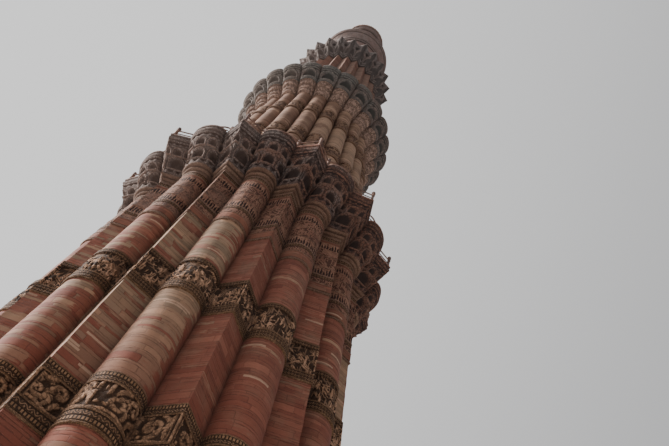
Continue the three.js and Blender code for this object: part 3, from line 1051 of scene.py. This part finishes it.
def tube_ring(path_x, path_y, height, radius, sides=6):
    """A closed rail: circles of a few sides carried along a level closed path round the tower."""
    angle = np.linspace(-math.pi / 2, 3 * math.pi / 2, sides, endpoint=False)[:, None]
    away = np.hypot(path_x, path_y)
    grow = 1 + radius * np.cos(angle) / away
    rise = height + radius * np.sin(angle) + 0 * away
    points = np.stack([path_x * grow, path_y * grow, rise], axis=-1)
    return points.reshape(-1, 3), grid_corners(sides, path_x.size)


def turned_posts(x, y, foot, profile, sides=6):
    """Turned posts: a profile of radius and height spun about each post's own axis, closed at both ends."""
    radius, height = np.array(profile).T
    angle = np.linspace(0, 2 * math.pi, sides, endpoint=False)
    ring_x = radius[:, None] * np.cos(angle)
    ring_y = radius[:, None] * np.sin(angle)
    points = np.empty((x.size, radius.size, sides, 3))
    points[..., 0] = x[:, None, None] + ring_x
    points[..., 1] = y[:, None, None] + ring_y
    points[..., 2] = foot + height[None, :, None]
    one = capped(radius.size, sides)
    corners = (one[None] + np.arange(x.size)[:, None, None] * radius.size * sides).reshape(-1, 4)
    return points.reshape(-1, 3), corners


def joined(name, parts, nodes, materials):
    """One piece from several sets of points and corners."""
    starts = np.cumsum([0] + [points.shape[0] for points, _ in parts[:-1]])
    points = np.concatenate([points for points, _ in parts])
    corners = np.concatenate([corners + start for (_, corners), start in zip(parts, starts)])
    mesh = quad_mesh(name, points, corners)
    mesh.set_sharp_from_angle(angle=SHARP_ANGLE)
    return finished(name, mesh, nodes, materials)


KNOB_POST = [
    (0.066, 0.0), (0.066, 0.07), (0.044, 0.11), (0.044, 0.52), (0.062, 0.57), (0.062, 0.63), (0.036, 0.67),
    (0.058, 0.72), (0.072, 0.79), (0.058, 0.86), (0.030, 0.90), (0.012, 0.95),
]


def railing(node, kinds, radii, scale, material, at_crests=False):
    """Knobbed posts, and two thin rails through them. The radii are those of an angular flute's crest, a
    round one's and a valley. A post stands in each valley, and at each angular crest where asked."""
    corner, rounded, valley = radii
    low, high, _ = node_span(node)
    fine = Ring(kinds, 8)
    crest = np.where(fine.kinds == CORNER, corner, rounded)
    rail_x, rail_y = fine.place(crest, valley)
    places = Ring(kinds, 2)
    keep = places.t < -0.4
    if at_crests:
        keep = keep | (places.kinds == CORNER)
    crest = np.where(places.kinds == CORNER, corner, rounded)
    post_x, post_y = places.place(crest, valley)
    tall = high - low
    profile = [(radius * scale, height * tall / 0.95) for radius, height in KNOB_POST]
    parts = [
        tube_ring(rail_x, rail_y, low + tall * 0.62, 0.026 * scale),
        tube_ring(rail_x, rail_y, low + tall * 0.30, 0.020 * scale),
        turned_posts(post_x[keep], post_y[keep], low, profile),
    ]
    return joined(node, parts, [node], [material])


def arch_line(width, springing, centre, sill, count):
    """The outline of a pointed arch, from one foot to the other: two uprights, and two arcs of radius
    width / 2 + centre struck from past the middle."""
    radius = width / 2 + centre
    reach = math.acos(centre / radius)
    angle = np.linspace(0, reach, count)
    right_x = -centre + radius * np.cos(angle)
    right_z = sill + springing + radius * np.sin(angle)
    x = np.concatenate([[width / 2], right_x, -right_x[::-1][1:], [-width / 2]])
    z = np.concatenate([[sill], right_z, right_z[::-1][1:], [sill]])
    return x, z


def prism(x, z, near, far, jamb_stone):
    """A mesh between two upright outlines, for cutting. The outlines run from right to left over the top,
    seen from -Y, and the faces point outwards, or the cut leaves the wall closed."""
    count = x.size
    mesh = bpy.data.meshes.new("cutter")
    points = [(a * MODEL_SCALE, y * MODEL_SCALE, b * MODEL_SCALE) for y in (near, far) for a, b in zip(x, z)]
    beside = [(i + 1) % count for i in range(count)]
    faces = [[i + count, beside[i] + count, beside[i], i] for i in range(count)]
    mesh.from_pydata(points, [], [list(range(count)), list(range(count, 2 * count))[::-1], *faces])
    mesh.materials.append(jamb_stone)
    return mesh


def cut(piece, x, z, near, far, jamb_stone):
    """Cuts a passage along +Y out of a piece, and leaves a plain mesh."""
    cutter = bpy.data.objects.new("cutter", prism(x, z, near, far, jamb_stone))
    bpy.context.collection.objects.link(cutter)
    modifier = piece.modifiers.new("passage", "BOOLEAN")
    modifier.operation = "DIFFERENCE"
    modifier.solver = "EXACT"
    modifier.material_mode = "TRANSFER"
    modifier.object = cutter
    bpy.context.view_layer.update()
    evaluated = piece.evaluated_get(bpy.context.evaluated_depsgraph_get())
    mesh = bpy.data.meshes.new_from_object(evaluated)
    piece.modifiers.clear()
    piece.data = mesh
    bpy.data.objects.remove(cutter)


def doorway(piece, floor, jamb_stone):
    """A balcony's doorway, from the shaft out through the wall."""
    x, z = arch_line(*BALCONY_DOOR, floor - BELOW_SILL, 12)
    cut(piece, x, z, 0.0, PAST_THE_WALL, jamb_stone)


def mitred(line):
    """For each point of a flat line, the vector to its left that carries an even offset round the corners."""
    step = np.diff(line, axis=0)
    step /= np.linalg.norm(step, axis=1, keepdims=True)
    left = np.column_stack([-step[:, 1], step[:, 0]])
    before = np.concatenate([left[:1], left])
    after = np.concatenate([left, left[-1:]])
    return (before + after) / (1 + (before * after).sum(axis=1, keepdims=True))


def carried(line, side, out, profile):
    """A profile carried along a line: each point is the line's, plus a times side, plus b times out."""
    a, b = np.array(profile).T
    points = line[:, None] + a[:, None] * side[:, None] + b[:, None] * out[:, None]
    along = np.concatenate([[0], np.linalg.norm(np.diff(line, axis=0), axis=1).cumsum()])
    rise = (a - a.min()) / (a.max() - a.min())
    return points, along[:, None] + 0 * a, rise + 0 * along[:, None], np.ones(points.shape[:2])


def face_moulding(x, z, profile):
    """A moulding on the portal's face, along an upright line."""
    line = np.column_stack([x, z])
    left = mitred(line)
    nought = np.zeros(x.size)
    path = np.column_stack([x, nought + PORTAL_FRONT, z])
    side = np.column_stack([left[:, 0], nought, left[:, 1]])
    return carried(path, side, nought[:, None] + [[0, 1, 0]], profile)


def cornice(height, profile):
    """A moulding round the portal's two sides and face, near its head."""
    line = np.array([(-PORTAL_HALF_WIDTH, PORTAL_BACK + 0.5), (-PORTAL_HALF_WIDTH, PORTAL_FRONT),
                     (PORTAL_HALF_WIDTH, PORTAL_FRONT), (PORTAL_HALF_WIDTH, PORTAL_BACK + 0.5)])
    flat = mitred(line)
    nought = np.zeros(len(line))
    path = np.column_stack([line, nought + height])
    return carried(path, nought[:, None] + [[0, 0, 1]], np.column_stack([flat, nought]), profile)


def rosette(x, z, radius, petals=8, rings=12, spokes=64):
    """A round flower on the portal's face: with s the share of its radius, the petals stand out by
    0.06 |cos(petals a / 2)| sin(pi s) beyond s = 1/3, and a round boss by 0.08 (1 - 9 s^2) inside it."""
    s = np.concatenate([np.linspace(0.02, 1, rings), [1.0]])[:, None]
    angle = np.linspace(0, 2 * math.pi, spokes, endpoint=False)[None, :]
    outer = np.clip((s - 0.3) / 0.7, 0, 1)
    petal = 0.015 + 0.06 * np.abs(np.cos(petals * angle / 2)) * np.sin(math.pi * outer)
    stand = np.maximum(petal, 0.08 * (1 - 9 * s * s))
    stand[-1] = -0.04
    across, upward = radius * s * np.cos(angle), radius * s * np.sin(angle)
    points = np.stack([x + across, PORTAL_FRONT + stand, z + upward], axis=-1)
    raised = np.clip(stand / 0.05, 0, 1)
    return points, radius * angle + 0 * s, radius * s + 0 * angle, raised


def roll(radius, sides=10):
    """A round profile of an even number of points."""
    angle = np.linspace(0, 2 * math.pi, sides, endpoint=False)
    return np.column_stack([radius * np.cos(angle), radius * np.sin(angle)])


def flat(width, out):
    """A flat profile that stands out so far and is let in behind."""
    return [(-width / 2, -0.03), (-width / 2, out), (width / 2, out), (width / 2, -0.03)]


def portal_dressings(floor, materials):
    """Mouldings round the entrance arch, a carved frame and a cornice, and a rosette in each spandrel."""
    width, springing, centre = ENTRANCE

    def round_arch(away, profile):
        x, z = arch_line(width + 2 * away, springing, centre, floor - BELOW_SILL, 14)
        z[[0, -1]] = floor
        return face_moulding(x, z, profile)

    def frame_line(away, head, profile):
        x = np.array([away, away, -away, -away])
        return face_moulding(x, floor + np.array([0, head, head, 0]), profile)

    sloping = [(-0.05, -0.03), (-0.05, 0.04), (0.05, 0.09), (0.05, -0.03)]
    parts = [
        (round_arch(0.07, roll(0.055)), TRIM),
        (round_arch(0.21, flat(0.15, 0.03)), TEETH),
        (round_arch(0.32, roll(0.035)), TRIM),
        (frame_line(1.36, 3.27, roll(0.032)), TRIM),
        (frame_line(1.50, 3.41, flat(0.22, 0.03)), VINE),
        (frame_line(1.64, 3.55, roll(0.032)), TRIM),
        (cornice(floor + PORTAL_HEIGHT - 0.052, sloping), TRIM),
        (rosette(1.10, floor + 2.95, 0.20), RELIEF),
        (rosette(-1.10, floor + 2.95, 0.20), RELIEF),
    ]
    points, corners, uv, rise, carve, stones, start = [], [], [], [], [], [], 0
    for (place, along, across, raised), stone in parts:
        own = capped(*place.shape[:2])
        place = place.reshape(-1, 3)
        a, b, c, d = (place[own[:, k]] for k in range(4))
        volume = (a * (np.cross(b, c) + np.cross(c, d))).sum()
        own = own if volume > 0 else own[:, ::-1]
        points.append(place)
        corners.append(own + start)
        uv.append(np.column_stack([along.ravel(), across.ravel()]))
        rise.append(across.ravel())
        carve.append(raised.ravel())
        stones.append(np.full(len(own), stone))
        start += len(place)
    corners = np.concatenate(corners)
    mesh = quad_mesh("portal_dressings", np.concatenate(points), corners)
    course = np.concatenate(uv)[corners]
    mesh.uv_layers.new(name="course").data.foreach_set("uv", course.astype(np.float32).reshape(-1))
    values = {"rise": np.concatenate(rise), "carve": np.concatenate(carve), "soot_and_shade": np.zeros(start)}
    for key, value in values.items():
        mesh.attributes.new(key, "FLOAT", "POINT").data.foreach_set("value", value.astype(np.float32))
    mesh.polygons.foreach_set("material_index", np.concatenate(stones).astype(np.int32))
    mesh.set_sharp_from_angle(angle=SHARP_ANGLE)
    return finished("portal_dressings", mesh, [], materials)


# Lists of strips, from the foot of each course up

def bold_band(seed, rows):
    """A lip, square teeth, a vine border, the main frieze, and finer borders over it, with fillets."""
    return [
        fillet(0.07, 0.0, 3, 0.016),
        groove(0.03, -0.045),
        strip(0.13, -0.004, stone=TEETH),
        groove(0.03, -0.025, 0.3),
        strip(0.15, -0.008, stone=VINE),
        groove(0.03, -0.025, 0.3),
        fillet(0.06, 0.0, 2, 0.010),
        strip(0.90, -0.004, rows=rows, relief=frieze(seed), depth=0.052),
        fillet(0.04, 0.0),
        groove(0.02, -0.020, 0.3),
        strip(0.12, -0.008, stone=VINE),
        groove(0.02, -0.020, 0.3),
        strip(0.12, -0.006, stone=TEETH),
        fillet(0.04, -0.004),
    ]


def dense_band(seed, rows):
    """A lip over a groove, rows of fine borders, a close frieze of reeds, and one more border over it."""
    return [
        fillet(0.05, 0.0, 2, 0.012),
        groove(0.03, -0.045),
        strip(0.12, -0.004, stone=VINE),
        groove(0.025, -0.025),
        strip(0.10, -0.004, stone=VINE),
        groove(0.025, -0.025),
        fillet(0.05, -0.004),
        strip(1.06, -0.004, rows=rows, relief=frieze(seed, reeds), depth=0.052),
        groove(0.03, -0.020),
        strip(0.12, -0.004, stone=VINE),
        groove(0.02, -0.020, 0.3),
        groove(0.07, -0.004, 0.7),
    ]


def lower_collar():
    """A lip over a dark groove, a plain band, a lined one, a vine border, and a fringe of hollows."""
    return [
        fillet(0.07, 0.0, 3, 0.018),
        groove(0.03, -0.055, 0.1),
        strip(0.26, -0.006, rows=2, bulge=0.008, stone=PLAIN_STONE),
        fillet(0.04, 0.0, 2, 0.010),
        strip(0.20, -0.010, stone=RELIEF),
        groove(0.025, -0.03),
        strip(0.09, -0.004, stone=VINE),
        fillet(0.05, 0.0, 2, 0.010),
        strip(0.36, -0.012, rows=3, stone=FRINGE),
        fillet(0.04, -0.004, 2, 0.008),
    ]


def upper_collar():
    """A lined drum with a ring, a second fringe of hollows, and the start of the balcony's mouldings."""
    return [
        strip(0.44, -0.016, rows=4, stone=RELIEF),
        fillet(0.04, -0.008, 2, 0.012),
        strip(0.28, -0.016, rows=3, stone=RELIEF),
        strip(0.30, -0.012, rows=3, stone=FRINGE),
        strip(0.08, -0.012, stone=PLAIN_STONE),
        fillet(0.05, -0.004, 2, 0.010),
        strip(0.12, -0.012, stone=VINE),
        fillet(0.08, 0.0, 3, 0.014),
    ]


def small_band(seed, rows):
    """A roll, a groove, a vine border, a frieze, and teeth at its head."""
    return [
        fillet(0.12, 0.0, 3, 0.045),
        groove(0.05, -0.060, 0.0),
        strip(0.16, -0.008, stone=VINE),
        fillet(0.04, -0.004),
        strip(0.86, -0.004, rows=rows, relief=frieze(seed), depth=0.05),
        fillet(0.05, -0.004),
        strip(0.12, -0.008, stone=TEETH),
        fillet(0.05, -0.004),
        groove(0.04, -0.040, 0.0),
    ]


# The share of pale stone and of ring-wise coursing, for eight flutes that repeat round the tower. The first
# of them is four to the left of -Y.
EIGHT_FROM = 20
WALL_STONES = {
    "first_storey_wall_1": ([0.05, 0.20, 0.15, 0.30, 0.04, 0.06, 0.08, 0.05], [0.2] * 8),
    "first_storey_wall_2": ([0.05, 0.30, 0.10, 0.38, 0.03, 0.05, 0.06, 0.05],
                            [0.2, 0.3, 0.2, 0.5, 0.1, 0.2, 0.7, 0.3]),
    "first_storey_wall_3": ([0.30, 0.50, 0.66, 0.80, 0.02, 0.06, 0.07, 0.05],
                            [0.2, 0.3, 0.1, 0.4, 0.1, 0.7, 0.8, 0.4]),
    "first_storey_wall_4": ([0.40, 0.34, 0.64, 0.74, 0.02, 0.05, 0.02, 0.06],
                            [0.2, 0.2, 0.3, 0.6, 0.1, 0.7, 0.9, 0.5]),
    # Painted shade and light: on the second storey the first four flutes have few pale stones and the last
    # four many, darkening the flutes towards the key light and lightening those turned from it.
    "second_storey_wall_1": ([0.20, 0.20, 0.20, 0.30, 0.95, 0.95, 0.95, 0.90], [0.5] * 8),
    "second_storey_wall_2": ([0.15, 0.15, 0.15, 0.25, 0.80, 0.85, 0.85, 0.80], [0.5] * 8),
    "second_storey_wall_3": ([0.10] * 4 + [0.5] * 4, [0.5] * 8),
}


def stone_attributes(node):
    """The share of pale stones, with painted shade and painted light in it, and of ring-wise courses for each
    column of a wall.
    """
    pale, ringed = WALL_STONES.get(node, ([0.3] * 8, [0.5] * 8))

    def of_flute(values):
        return lambda ring: np.array(values)[(ring.flute - EIGHT_FROM) % 8]

    def pale_share_and_light(ring):
        own = of_flute(pale)(ring)
        # Painted shade: a round flute has fewer pale stones where t is above 0.2, so that side is darker and
        # redder.
        shaded_side = np.clip(1.1 - np.clip(ring.t - 0.2, 0, 1) * 3.4, 0, 1)
        own = np.where(ring.kinds == ROUND, own * shaded_side, own)
        # Painted light: the left face (t below 0) of an angular flute with some pale stone is almost all
        # pale, as a sunlit face.
        painted_lit_face = (ring.kinds == CORNER) & (ring.t < 0) & (own > 0.15)
        return np.where(painted_lit_face, 0.95, own)

    return {"pale": pale_share_and_light, "ringed": of_flute(ringed)}


def plain_wall(storey, node, columns, rows, material, seed):
    """One course of coursed stones."""
    strips = [strip(1.0, rows=rows, relief=uneven(seed), depth=0.010)]
    return ring_course(node, storey.kinds, Wall(storey, node), strips, columns, [material],
                       stone_attributes(node))


def plain_walls(storey, columns, rows, material, seed):
    """A storey's walls by node, from the lowest up. Each has its own rows and the next seed."""
    walls = {}
    for number, count in enumerate(rows, 1):
        node = f"{storey.name}_wall_{number}"
        walls[node] = plain_wall(storey, node, columns, count, material, seed + number)
    return walls


def plain_band(storey, number, seed, rows, columns, materials):
    """One of the narrow carved bands above the first balcony, on the storey's own taper."""
    node = f"{storey.name}_band_{number}"
    ring_course(node, storey.kinds, Wall(storey, node), small_band(seed, rows), columns, materials)


def stone_finishes():
    """Every stone of the tower. The lists go from RELIEF, TRIM, TEETH and VINE to PLAIN_STONE and FRINGE."""
    red = masonry("red_sandstone", (0.22, 0.102, 0.072), (0.155, 0.062, 0.045), (0.29, 0.208, 0.139),
                  (0.19, 0.155, 0.110))
    buff = masonry("buff_sandstone", (0.200, 0.135, 0.098), (0.168, 0.112, 0.081), (0.310, 0.233, 0.165),
                   (0.260, 0.202, 0.146))
    dark = masonry("dark_sandstone", (0.21, 0.125, 0.096), (0.17, 0.100, 0.080), (0.25, 0.180, 0.145),
                   (0.21, 0.160, 0.132))
    pale = masonry("pale_sandstone", (0.28, 0.218, 0.195), (0.245, 0.185, 0.165), (0.32, 0.275, 0.255),
                   (0.28, 0.250, 0.240))
    ashlar = masonry("plinth_stone", (0.24, 0.15, 0.10), (0.20, 0.11, 0.08), (0.34, 0.27, 0.19),
                     (0.27, 0.22, 0.17), mapped="block_map", tall=0.9)
    russet = masonry("collar_stone", (0.19, 0.090, 0.060), (0.13, 0.060, 0.043), (0.21, 0.13, 0.09),
                     (0.15, 0.105, 0.08))
    relief = carved("carved_sandstone", (0.040, 0.024, 0.014), (0.21, 0.134, 0.080), (0.30, 0.203, 0.130),
                    cell=0.10, tall=1.4, gap=0.12)
    trim = carved("carved_trim", (0.030, 0.018, 0.010), (0.14, 0.088, 0.048), (0.21, 0.140, 0.085), gap=0.16)
    teeth = border("toothed_border", (0.028, 0.017, 0.010), (0.16, 0.10, 0.055), (0.24, 0.16, 0.095), 0.085)
    vine = border("vine_border", (0.034, 0.021, 0.012), (0.15, 0.093, 0.052), (0.22, 0.145, 0.09), 0.20,
                  vine=True)
    reeded = interlaced("reeded_sandstone", (0.034, 0.021, 0.013), (0.27, 0.178, 0.112), (0.38, 0.265, 0.180))
    brown = carved("collar_trim", (0.045, 0.028, 0.020), (0.165, 0.108, 0.078), (0.225, 0.158, 0.115),
                   gap=0.14)
    lined = interlaced("lined_collar", (0.070, 0.038, 0.028), (0.190, 0.104, 0.074), (0.240, 0.146, 0.104),
                       width=0.045, reach=0.50)
    hollows = fringe("collar_fringe", (0.024, 0.014, 0.011), (0.21, 0.120, 0.084), (0.28, 0.175, 0.125),
                     0.105)
    faint = interlaced("faint_carving", (0.075, 0.048, 0.034), (0.21, 0.140, 0.095), (0.25, 0.180, 0.125),
                       width=0.08, reach=0.45, streaks=0.2)
    faint_trim = carved("faint_trim", (0.060, 0.040, 0.030), (0.20, 0.135, 0.092), (0.25, 0.175, 0.120),
                        streaks=0.2)
    faint_teeth = border("faint_teeth", (0.09, 0.058, 0.04), (0.21, 0.14, 0.095), (0.27, 0.19, 0.13), 0.13)
    faint_vine = border("faint_vine", (0.09, 0.058, 0.04), (0.20, 0.13, 0.088), (0.26, 0.18, 0.12), 0.26,
                        vine=True)
    corbel = stained("corbel_stone", (0.160, 0.090, 0.066), (0.150, 0.140, 0.134), (0.036, 0.028, 0.026),
                     (0.165, 0.116, 0.093), broken=0.85)
    slab_edge = stained("slab_edge", (0.27, 0.155, 0.120), (0.22, 0.170, 0.150), (0.090, 0.062, 0.052),
                        (0.30, 0.20, 0.16), broken=0.35)
    corbel_grey = stained("corbel_grey", (0.180, 0.158, 0.145), (0.176, 0.190, 0.184), (0.052, 0.058, 0.057),
                          (0.17, 0.162, 0.152), broken=0.6)
    corbel_high = stained("corbel_high", (0.21, 0.190, 0.182), (0.225, 0.228, 0.228), (0.082, 0.081, 0.080),
                          (0.23, 0.21, 0.20), broken=0.6)
    corbel_top = stained("corbel_top", (0.26, 0.212, 0.198), (0.27, 0.250, 0.242), (0.095, 0.087, 0.084),
                         (0.27, 0.23, 0.21), broken=0.5)
    ringed = interlaced("ringed_collar", (0.140, 0.108, 0.090), (0.340, 0.265, 0.218), (0.40, 0.320, 0.265),
                        width=0.045, reach=0.25)
    return SimpleNamespace(
        red=red, buff=buff, dark=dark, pale=pale, ashlar=ashlar,
        band=[relief, trim, teeth, vine],
        dense=[reeded, trim, teeth, vine],
        collar=[lined, brown, teeth, vine, russet, hollows],
        faint=[faint, faint_trim, faint_teeth, faint_vine],
        corbel=corbel, slab_edge=slab_edge, corbel_grey=corbel_grey, corbel_high=corbel_high,
        corbel_top=corbel_top, ringed=ringed, rail=rail_stone(),
    )


def first_storey(storey, stones):
    """Walls and carved bands of the first storey. Gives the two courses that the entrance cuts."""
    walls = plain_walls(storey, 24, (16, 16, 16, 12), stones.red, seed=10)
    layouts = [
        ("base_band", bold_band(seed=30, rows=14), 28, stones.band, 0.006),
        ("band_2", dense_band(seed=31, rows=16), 36, stones.dense, 0.007),
        ("band_3", bold_band(seed=32, rows=24), 48, stones.band, 0.007),
        ("band_4", dense_band(seed=33, rows=20), 48, stones.dense, 0.007),
        ("band_5", lower_collar(), 40, stones.collar, 0.007),
        ("band_6", upper_collar(), 40, stones.collar, 0.007),
    ]
    bands = {}
    for name, strips, columns, materials, crumbled in layouts:
        node = f"{storey.name}_{name}"
        bands[name] = ring_course(node, storey.kinds, Wall(storey, node), strips, columns, materials,
                                  crumbled=crumbled)
    return bands["base_band"], walls["first_storey_wall_1"]


def first_balcony(storey, stones):
    """Mouldings, two rows of niches, the slab and the railing."""
    profile = [(26.67, 0.12), (27.15, 0.24), (27.151, 0.24), (27.45, 0.30), (28.2, 0.54), (28.201, 0.60),
               (28.7, 0.78), (29.05, 0.92), (29.3, 0.98), (29.301, 1.0), (29.6, 1.0)]
    outline = Corbel(storey, 26.67, (6.48, 6.3, 5.88), profile)
    ring_course("first_balcony_moulding", ALTERNATE, outline, [
        groove(0.07, -0.12, 0.7),
        fillet(0.16, -0.09, 5, 0.08),
        groove(0.03, -0.07, 0.4),
        fillet(0.18, -0.03, 5, 0.09),
    ], 32, stones.collar, crumbled=0.010)
    ring_course("first_balcony_lower_corbel", ALTERNATE, outline, [
        strip(0.30, 0.03, rows=8, relief=leaves(6), push=0.10),
        strip(0.76, 0.02, rows=18, relief=niches(2, 3, wide=0.33, springing=0.50, base=0.10), push=0.26),
    ], 44, [stones.corbel], crumbled=0.013)
    ring_course("first_balcony_upper_corbel", ALTERNATE, outline, [
        strip(0.50, 0.02, rows=12, relief=niches(4, 4, 0.5, wide=0.34, springing=0.45, base=0.10), push=0.16),
        strip(0.05, unshaded=0.4),
        strip(0.16, rows=4, relief=leaves(7), push=0.06),
        strip(0.02, -0.02, unshaded=0.5),
        strip(0.09, rows=3, bulge=0.02),
        strip(0.02, -0.02, unshaded=0.5),
        strip(0.22, rows=4, bulge=0.03),
    ], 40, [stones.corbel], crumbled=0.005)
    ring_course("first_balcony_slab", ALTERNATE, outline, [
        strip(0.10, -0.05),
        strip(0.05, -0.02),
        fillet(0.08, 0.0),
    ], 24, [stones.corbel, stones.slab_edge], crumbled=0.004)
    railing("first_balcony_railing", ALTERNATE, (6.36, 5.98, 5.78), scale=1.35, material=stones.rail,
            at_crests=True)


def second_storey(storey, stones):
    """Walls and bands of the second storey. Gives the walls."""
    walls = plain_walls(storey, 16, (14, 10, 8), stones.buff, seed=40)
    for number in (1, 2):
        plain_band(storey, number, 50 + number, rows=10, columns=20, materials=stones.faint)
    return walls


def second_balcony(storey, stones):
    """Ringed mouldings between rows of leaves, one row of niches, the slab and the railing."""
    profile = [(42.4, 0.1), (42.9, 0.22), (43.6, 0.5), (43.601, 0.54), (44.2, 0.7), (44.75, 0.96),
               (44.751, 1.0), (45.1, 1.0)]
    outline = Corbel(storey, 42.4, (5.0, 5.0, 4.75), profile)
    ring_course("second_balcony_lower_corbel", ALL_ROUND, outline, [
        fillet(0.10, 0.0, 3, 0.05),
        groove(0.03, -0.01, 0.0),
        fillet(0.12, 0.0),
        groove(0.03, -0.01, 0.0),
        fillet(0.14, 0.02, 3, 0.05),
        groove(0.03, -0.01, 0.0),
        strip(0.26, -0.02, rows=6, relief=leaves(6), push=0.035, stone=TRIM),
        fillet(0.12, 0.02, 3, 0.05),
        groove(0.03, -0.01, 0.0),
        strip(0.24, -0.02, rows=6, relief=leaves(6, 0.5), push=0.035, stone=TRIM),
        strip(0.10, 0.02, rows=3, bulge=0.05),
    ], 24, [stones.corbel_grey, stones.ringed], crumbled=0.006)
    ring_course("second_balcony_upper_corbel", ALL_ROUND, outline, [
        strip(0.03, -0.03, unshaded=0.2),
        strip(0.72, rows=16, relief=niches(1, 1, wide=0.25, springing=0.42, base=0.14), push=0.26),
        strip(0.02, -0.02, unshaded=0.4),
        strip(0.10, 0.02, rows=3, bulge=0.03),
        strip(0.02, -0.02, unshaded=0.4),
        strip(0.14, 0.02, rows=3, bulge=0.03),
    ], 24, [stones.corbel_grey], crumbled=0.012)
    ring_course("second_balcony_slab", ALL_ROUND, outline, [
        strip(0.10, -0.04),
        strip(0.05, -0.01),
        strip(0.10),
    ], 16, [stones.corbel_grey])
    railing("second_balcony_railing", PLAIN, (4.55, 4.55, 4.55), scale=0.75, material=stones.rail)


def third_storey(storey, stones):
    """Walls and band of the third storey. Gives the walls."""
    walls = plain_walls(storey, 12, (14, 10), stones.dark, seed=60)
    plain_band(storey, 1, 63, rows=8, columns=12, materials=stones.faint)
    return walls


def third_balcony(storey, stones):
    """Two rows of niches between rolls, with the flutes' tips cut back, the slab and the railing."""
    profile = [(55.6, 0.1), (55.9, 0.36), (56.2, 0.62), (56.5, 0.80), (57.2, 0.95), (57.201, 1.0),
               (57.5, 1.0)]
    outline = Corbel(storey, 55.6, (3.9, 3.9, 3.5), profile)
    tips = blunt(level_face)
    ring_course("third_balcony_corbel", ALL_CORNER, outline, [
        strip(0.12, rows=2, bulge=0.03, relief=tips, push=0.06),
        strip(0.12, 0.02, rows=2, bulge=0.03, relief=tips, push=0.10),
        strip(0.50, rows=8, relief=blunt(niches(2, 2)), push=0.12),
        strip(0.07, 0.02, rows=2, bulge=0.02, relief=tips, push=0.12),
        strip(0.50, rows=8, relief=blunt(niches(2, 2, 0.5)), push=0.12),
        strip(0.10, 0.02, rows=2, bulge=0.02, relief=tips, push=0.12),
    ], 20, [stones.corbel_high], crumbled=0.014)
    ring_course("third_balcony_slab", ALL_CORNER, outline, [
        strip(0.12, rows=2, relief=tips, push=0.10),
        strip(0.11, rows=2),
    ], 20, [stones.corbel_high], crumbled=0.014)
    railing("third_balcony_railing", PLAIN, (3.2, 3.2, 3.2), scale=0.6, material=stones.rail)


def plain_storey(storey, top, radius, profile, head, stones):
    """One of the two plain round storeys, and the mouldings at its head. Gives the walls and the outline."""
    walls = plain_walls(storey, 8, (12, 10), stones.pale, seed=70)
    plain_band(storey, 1, 73, rows=6, columns=8, materials=stones.faint)
    outline = Corbel(storey, top, (radius, radius, radius), profile)
    ring_course(head, PLAIN, outline, [
        strip(0.14, rows=3, bulge=0.03),
        strip(0.03, -0.02, unshaded=0.4),
        strip(0.14, rows=3, bulge=0.03),
        strip(0.40, rows=4),
        strip(0.03, -0.02, unshaded=0.4),
        strip(0.14, rows=3, bulge=0.03),
    ], 8, [stones.corbel_top], crumbled=0.01)
    return walls, outline


def entrance(pieces, stones):
    """The portal's seat and the arched passage, cut out of the lowest courses, and its dressings."""
    seat = PORTAL_HALF_WIDTH + 0.001
    head = ENTRANCE_FLOOR + PORTAL_HEIGHT
    seat_x = np.array([seat, seat, -seat, -seat])
    seat_z = np.array([0.0, head, head, 0.0])
    arch_x, arch_z = arch_line(*ENTRANCE, ENTRANCE_FLOOR - BELOW_SILL, 12)
    for piece in pieces:
        cut(piece, seat_x, seat_z, PORTAL_BACK, PAST_THE_WALL, stones.ashlar)
        cut(piece, arch_x, arch_z, 0.0, PAST_THE_WALL, stones.ashlar)
    portal_dressings(ENTRANCE_FLOOR, stones.band)


def packed_shapes(stones):
    """The foot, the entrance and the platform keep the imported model's shapes, in dressed stone."""
    for name in ("plinth", "entrance_steps", "entrance_portal", "top_platform"):
        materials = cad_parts[name].data.materials
        materials.clear()
        materials.append(stones.ashlar)


def main():
    """The scene, from the ground up."""
    photo_camera()
    studio()
    stones = stone_finishes()
    first = Storey("first_storey", ALTERNATE, "wall_2", "wall_4")
    second = Storey("second_storey", ALL_ROUND, "wall_1", "wall_3")
    third = Storey("third_storey", ALL_CORNER, "wall_1", "wall_2")
    fourth = Storey("fourth_storey", PLAIN, "wall_1", "wall_2")
    fifth = Storey("fifth_storey", PLAIN, "wall_1", "wall_2")

    lowest = first_storey(first, stones)
    first_balcony(first, stones)
    walls = second_storey(second, stones)
    second_balcony(second, stones)
    walls.update(third_storey(third, stones))
    third_balcony(third, stones)

    profile = [(63.9, 0.1), (64.4, 0.4), (64.95, 0.95), (64.951, 1.0), (65.3, 1.0)]
    own, outline = plain_storey(fourth, 63.9, 2.9, profile, "fourth_balcony_corbel", stones)
    walls.update(own)
    slab = [strip(0.08, -0.03), strip(0.05, -0.01), strip(0.07)]
    ring_course("fourth_balcony_slab", PLAIN, outline, slab, 8, [stones.corbel_top])
    railing("fourth_balcony_railing", PLAIN, (2.7, 2.7, 2.7), scale=0.6, material=stones.rail)

    profile = [(71.2, 0.2), (71.45, 0.5), (71.7, 0.9), (71.701, 1.0), (72.0, 1.0)]
    own, _ = plain_storey(fifth, 71.2, 1.9, profile, "top_cornice", stones)
    walls.update(own)
    railing("top_railing", PLAIN, (1.78, 1.78, 1.78), scale=0.55, material=stones.rail)

    for node, floor in DOORWAY_FLOORS.items():
        doorway(walls[node], floor, stones.ashlar)
    entrance(lowest, stones)
    packed_shapes(stones)


main()
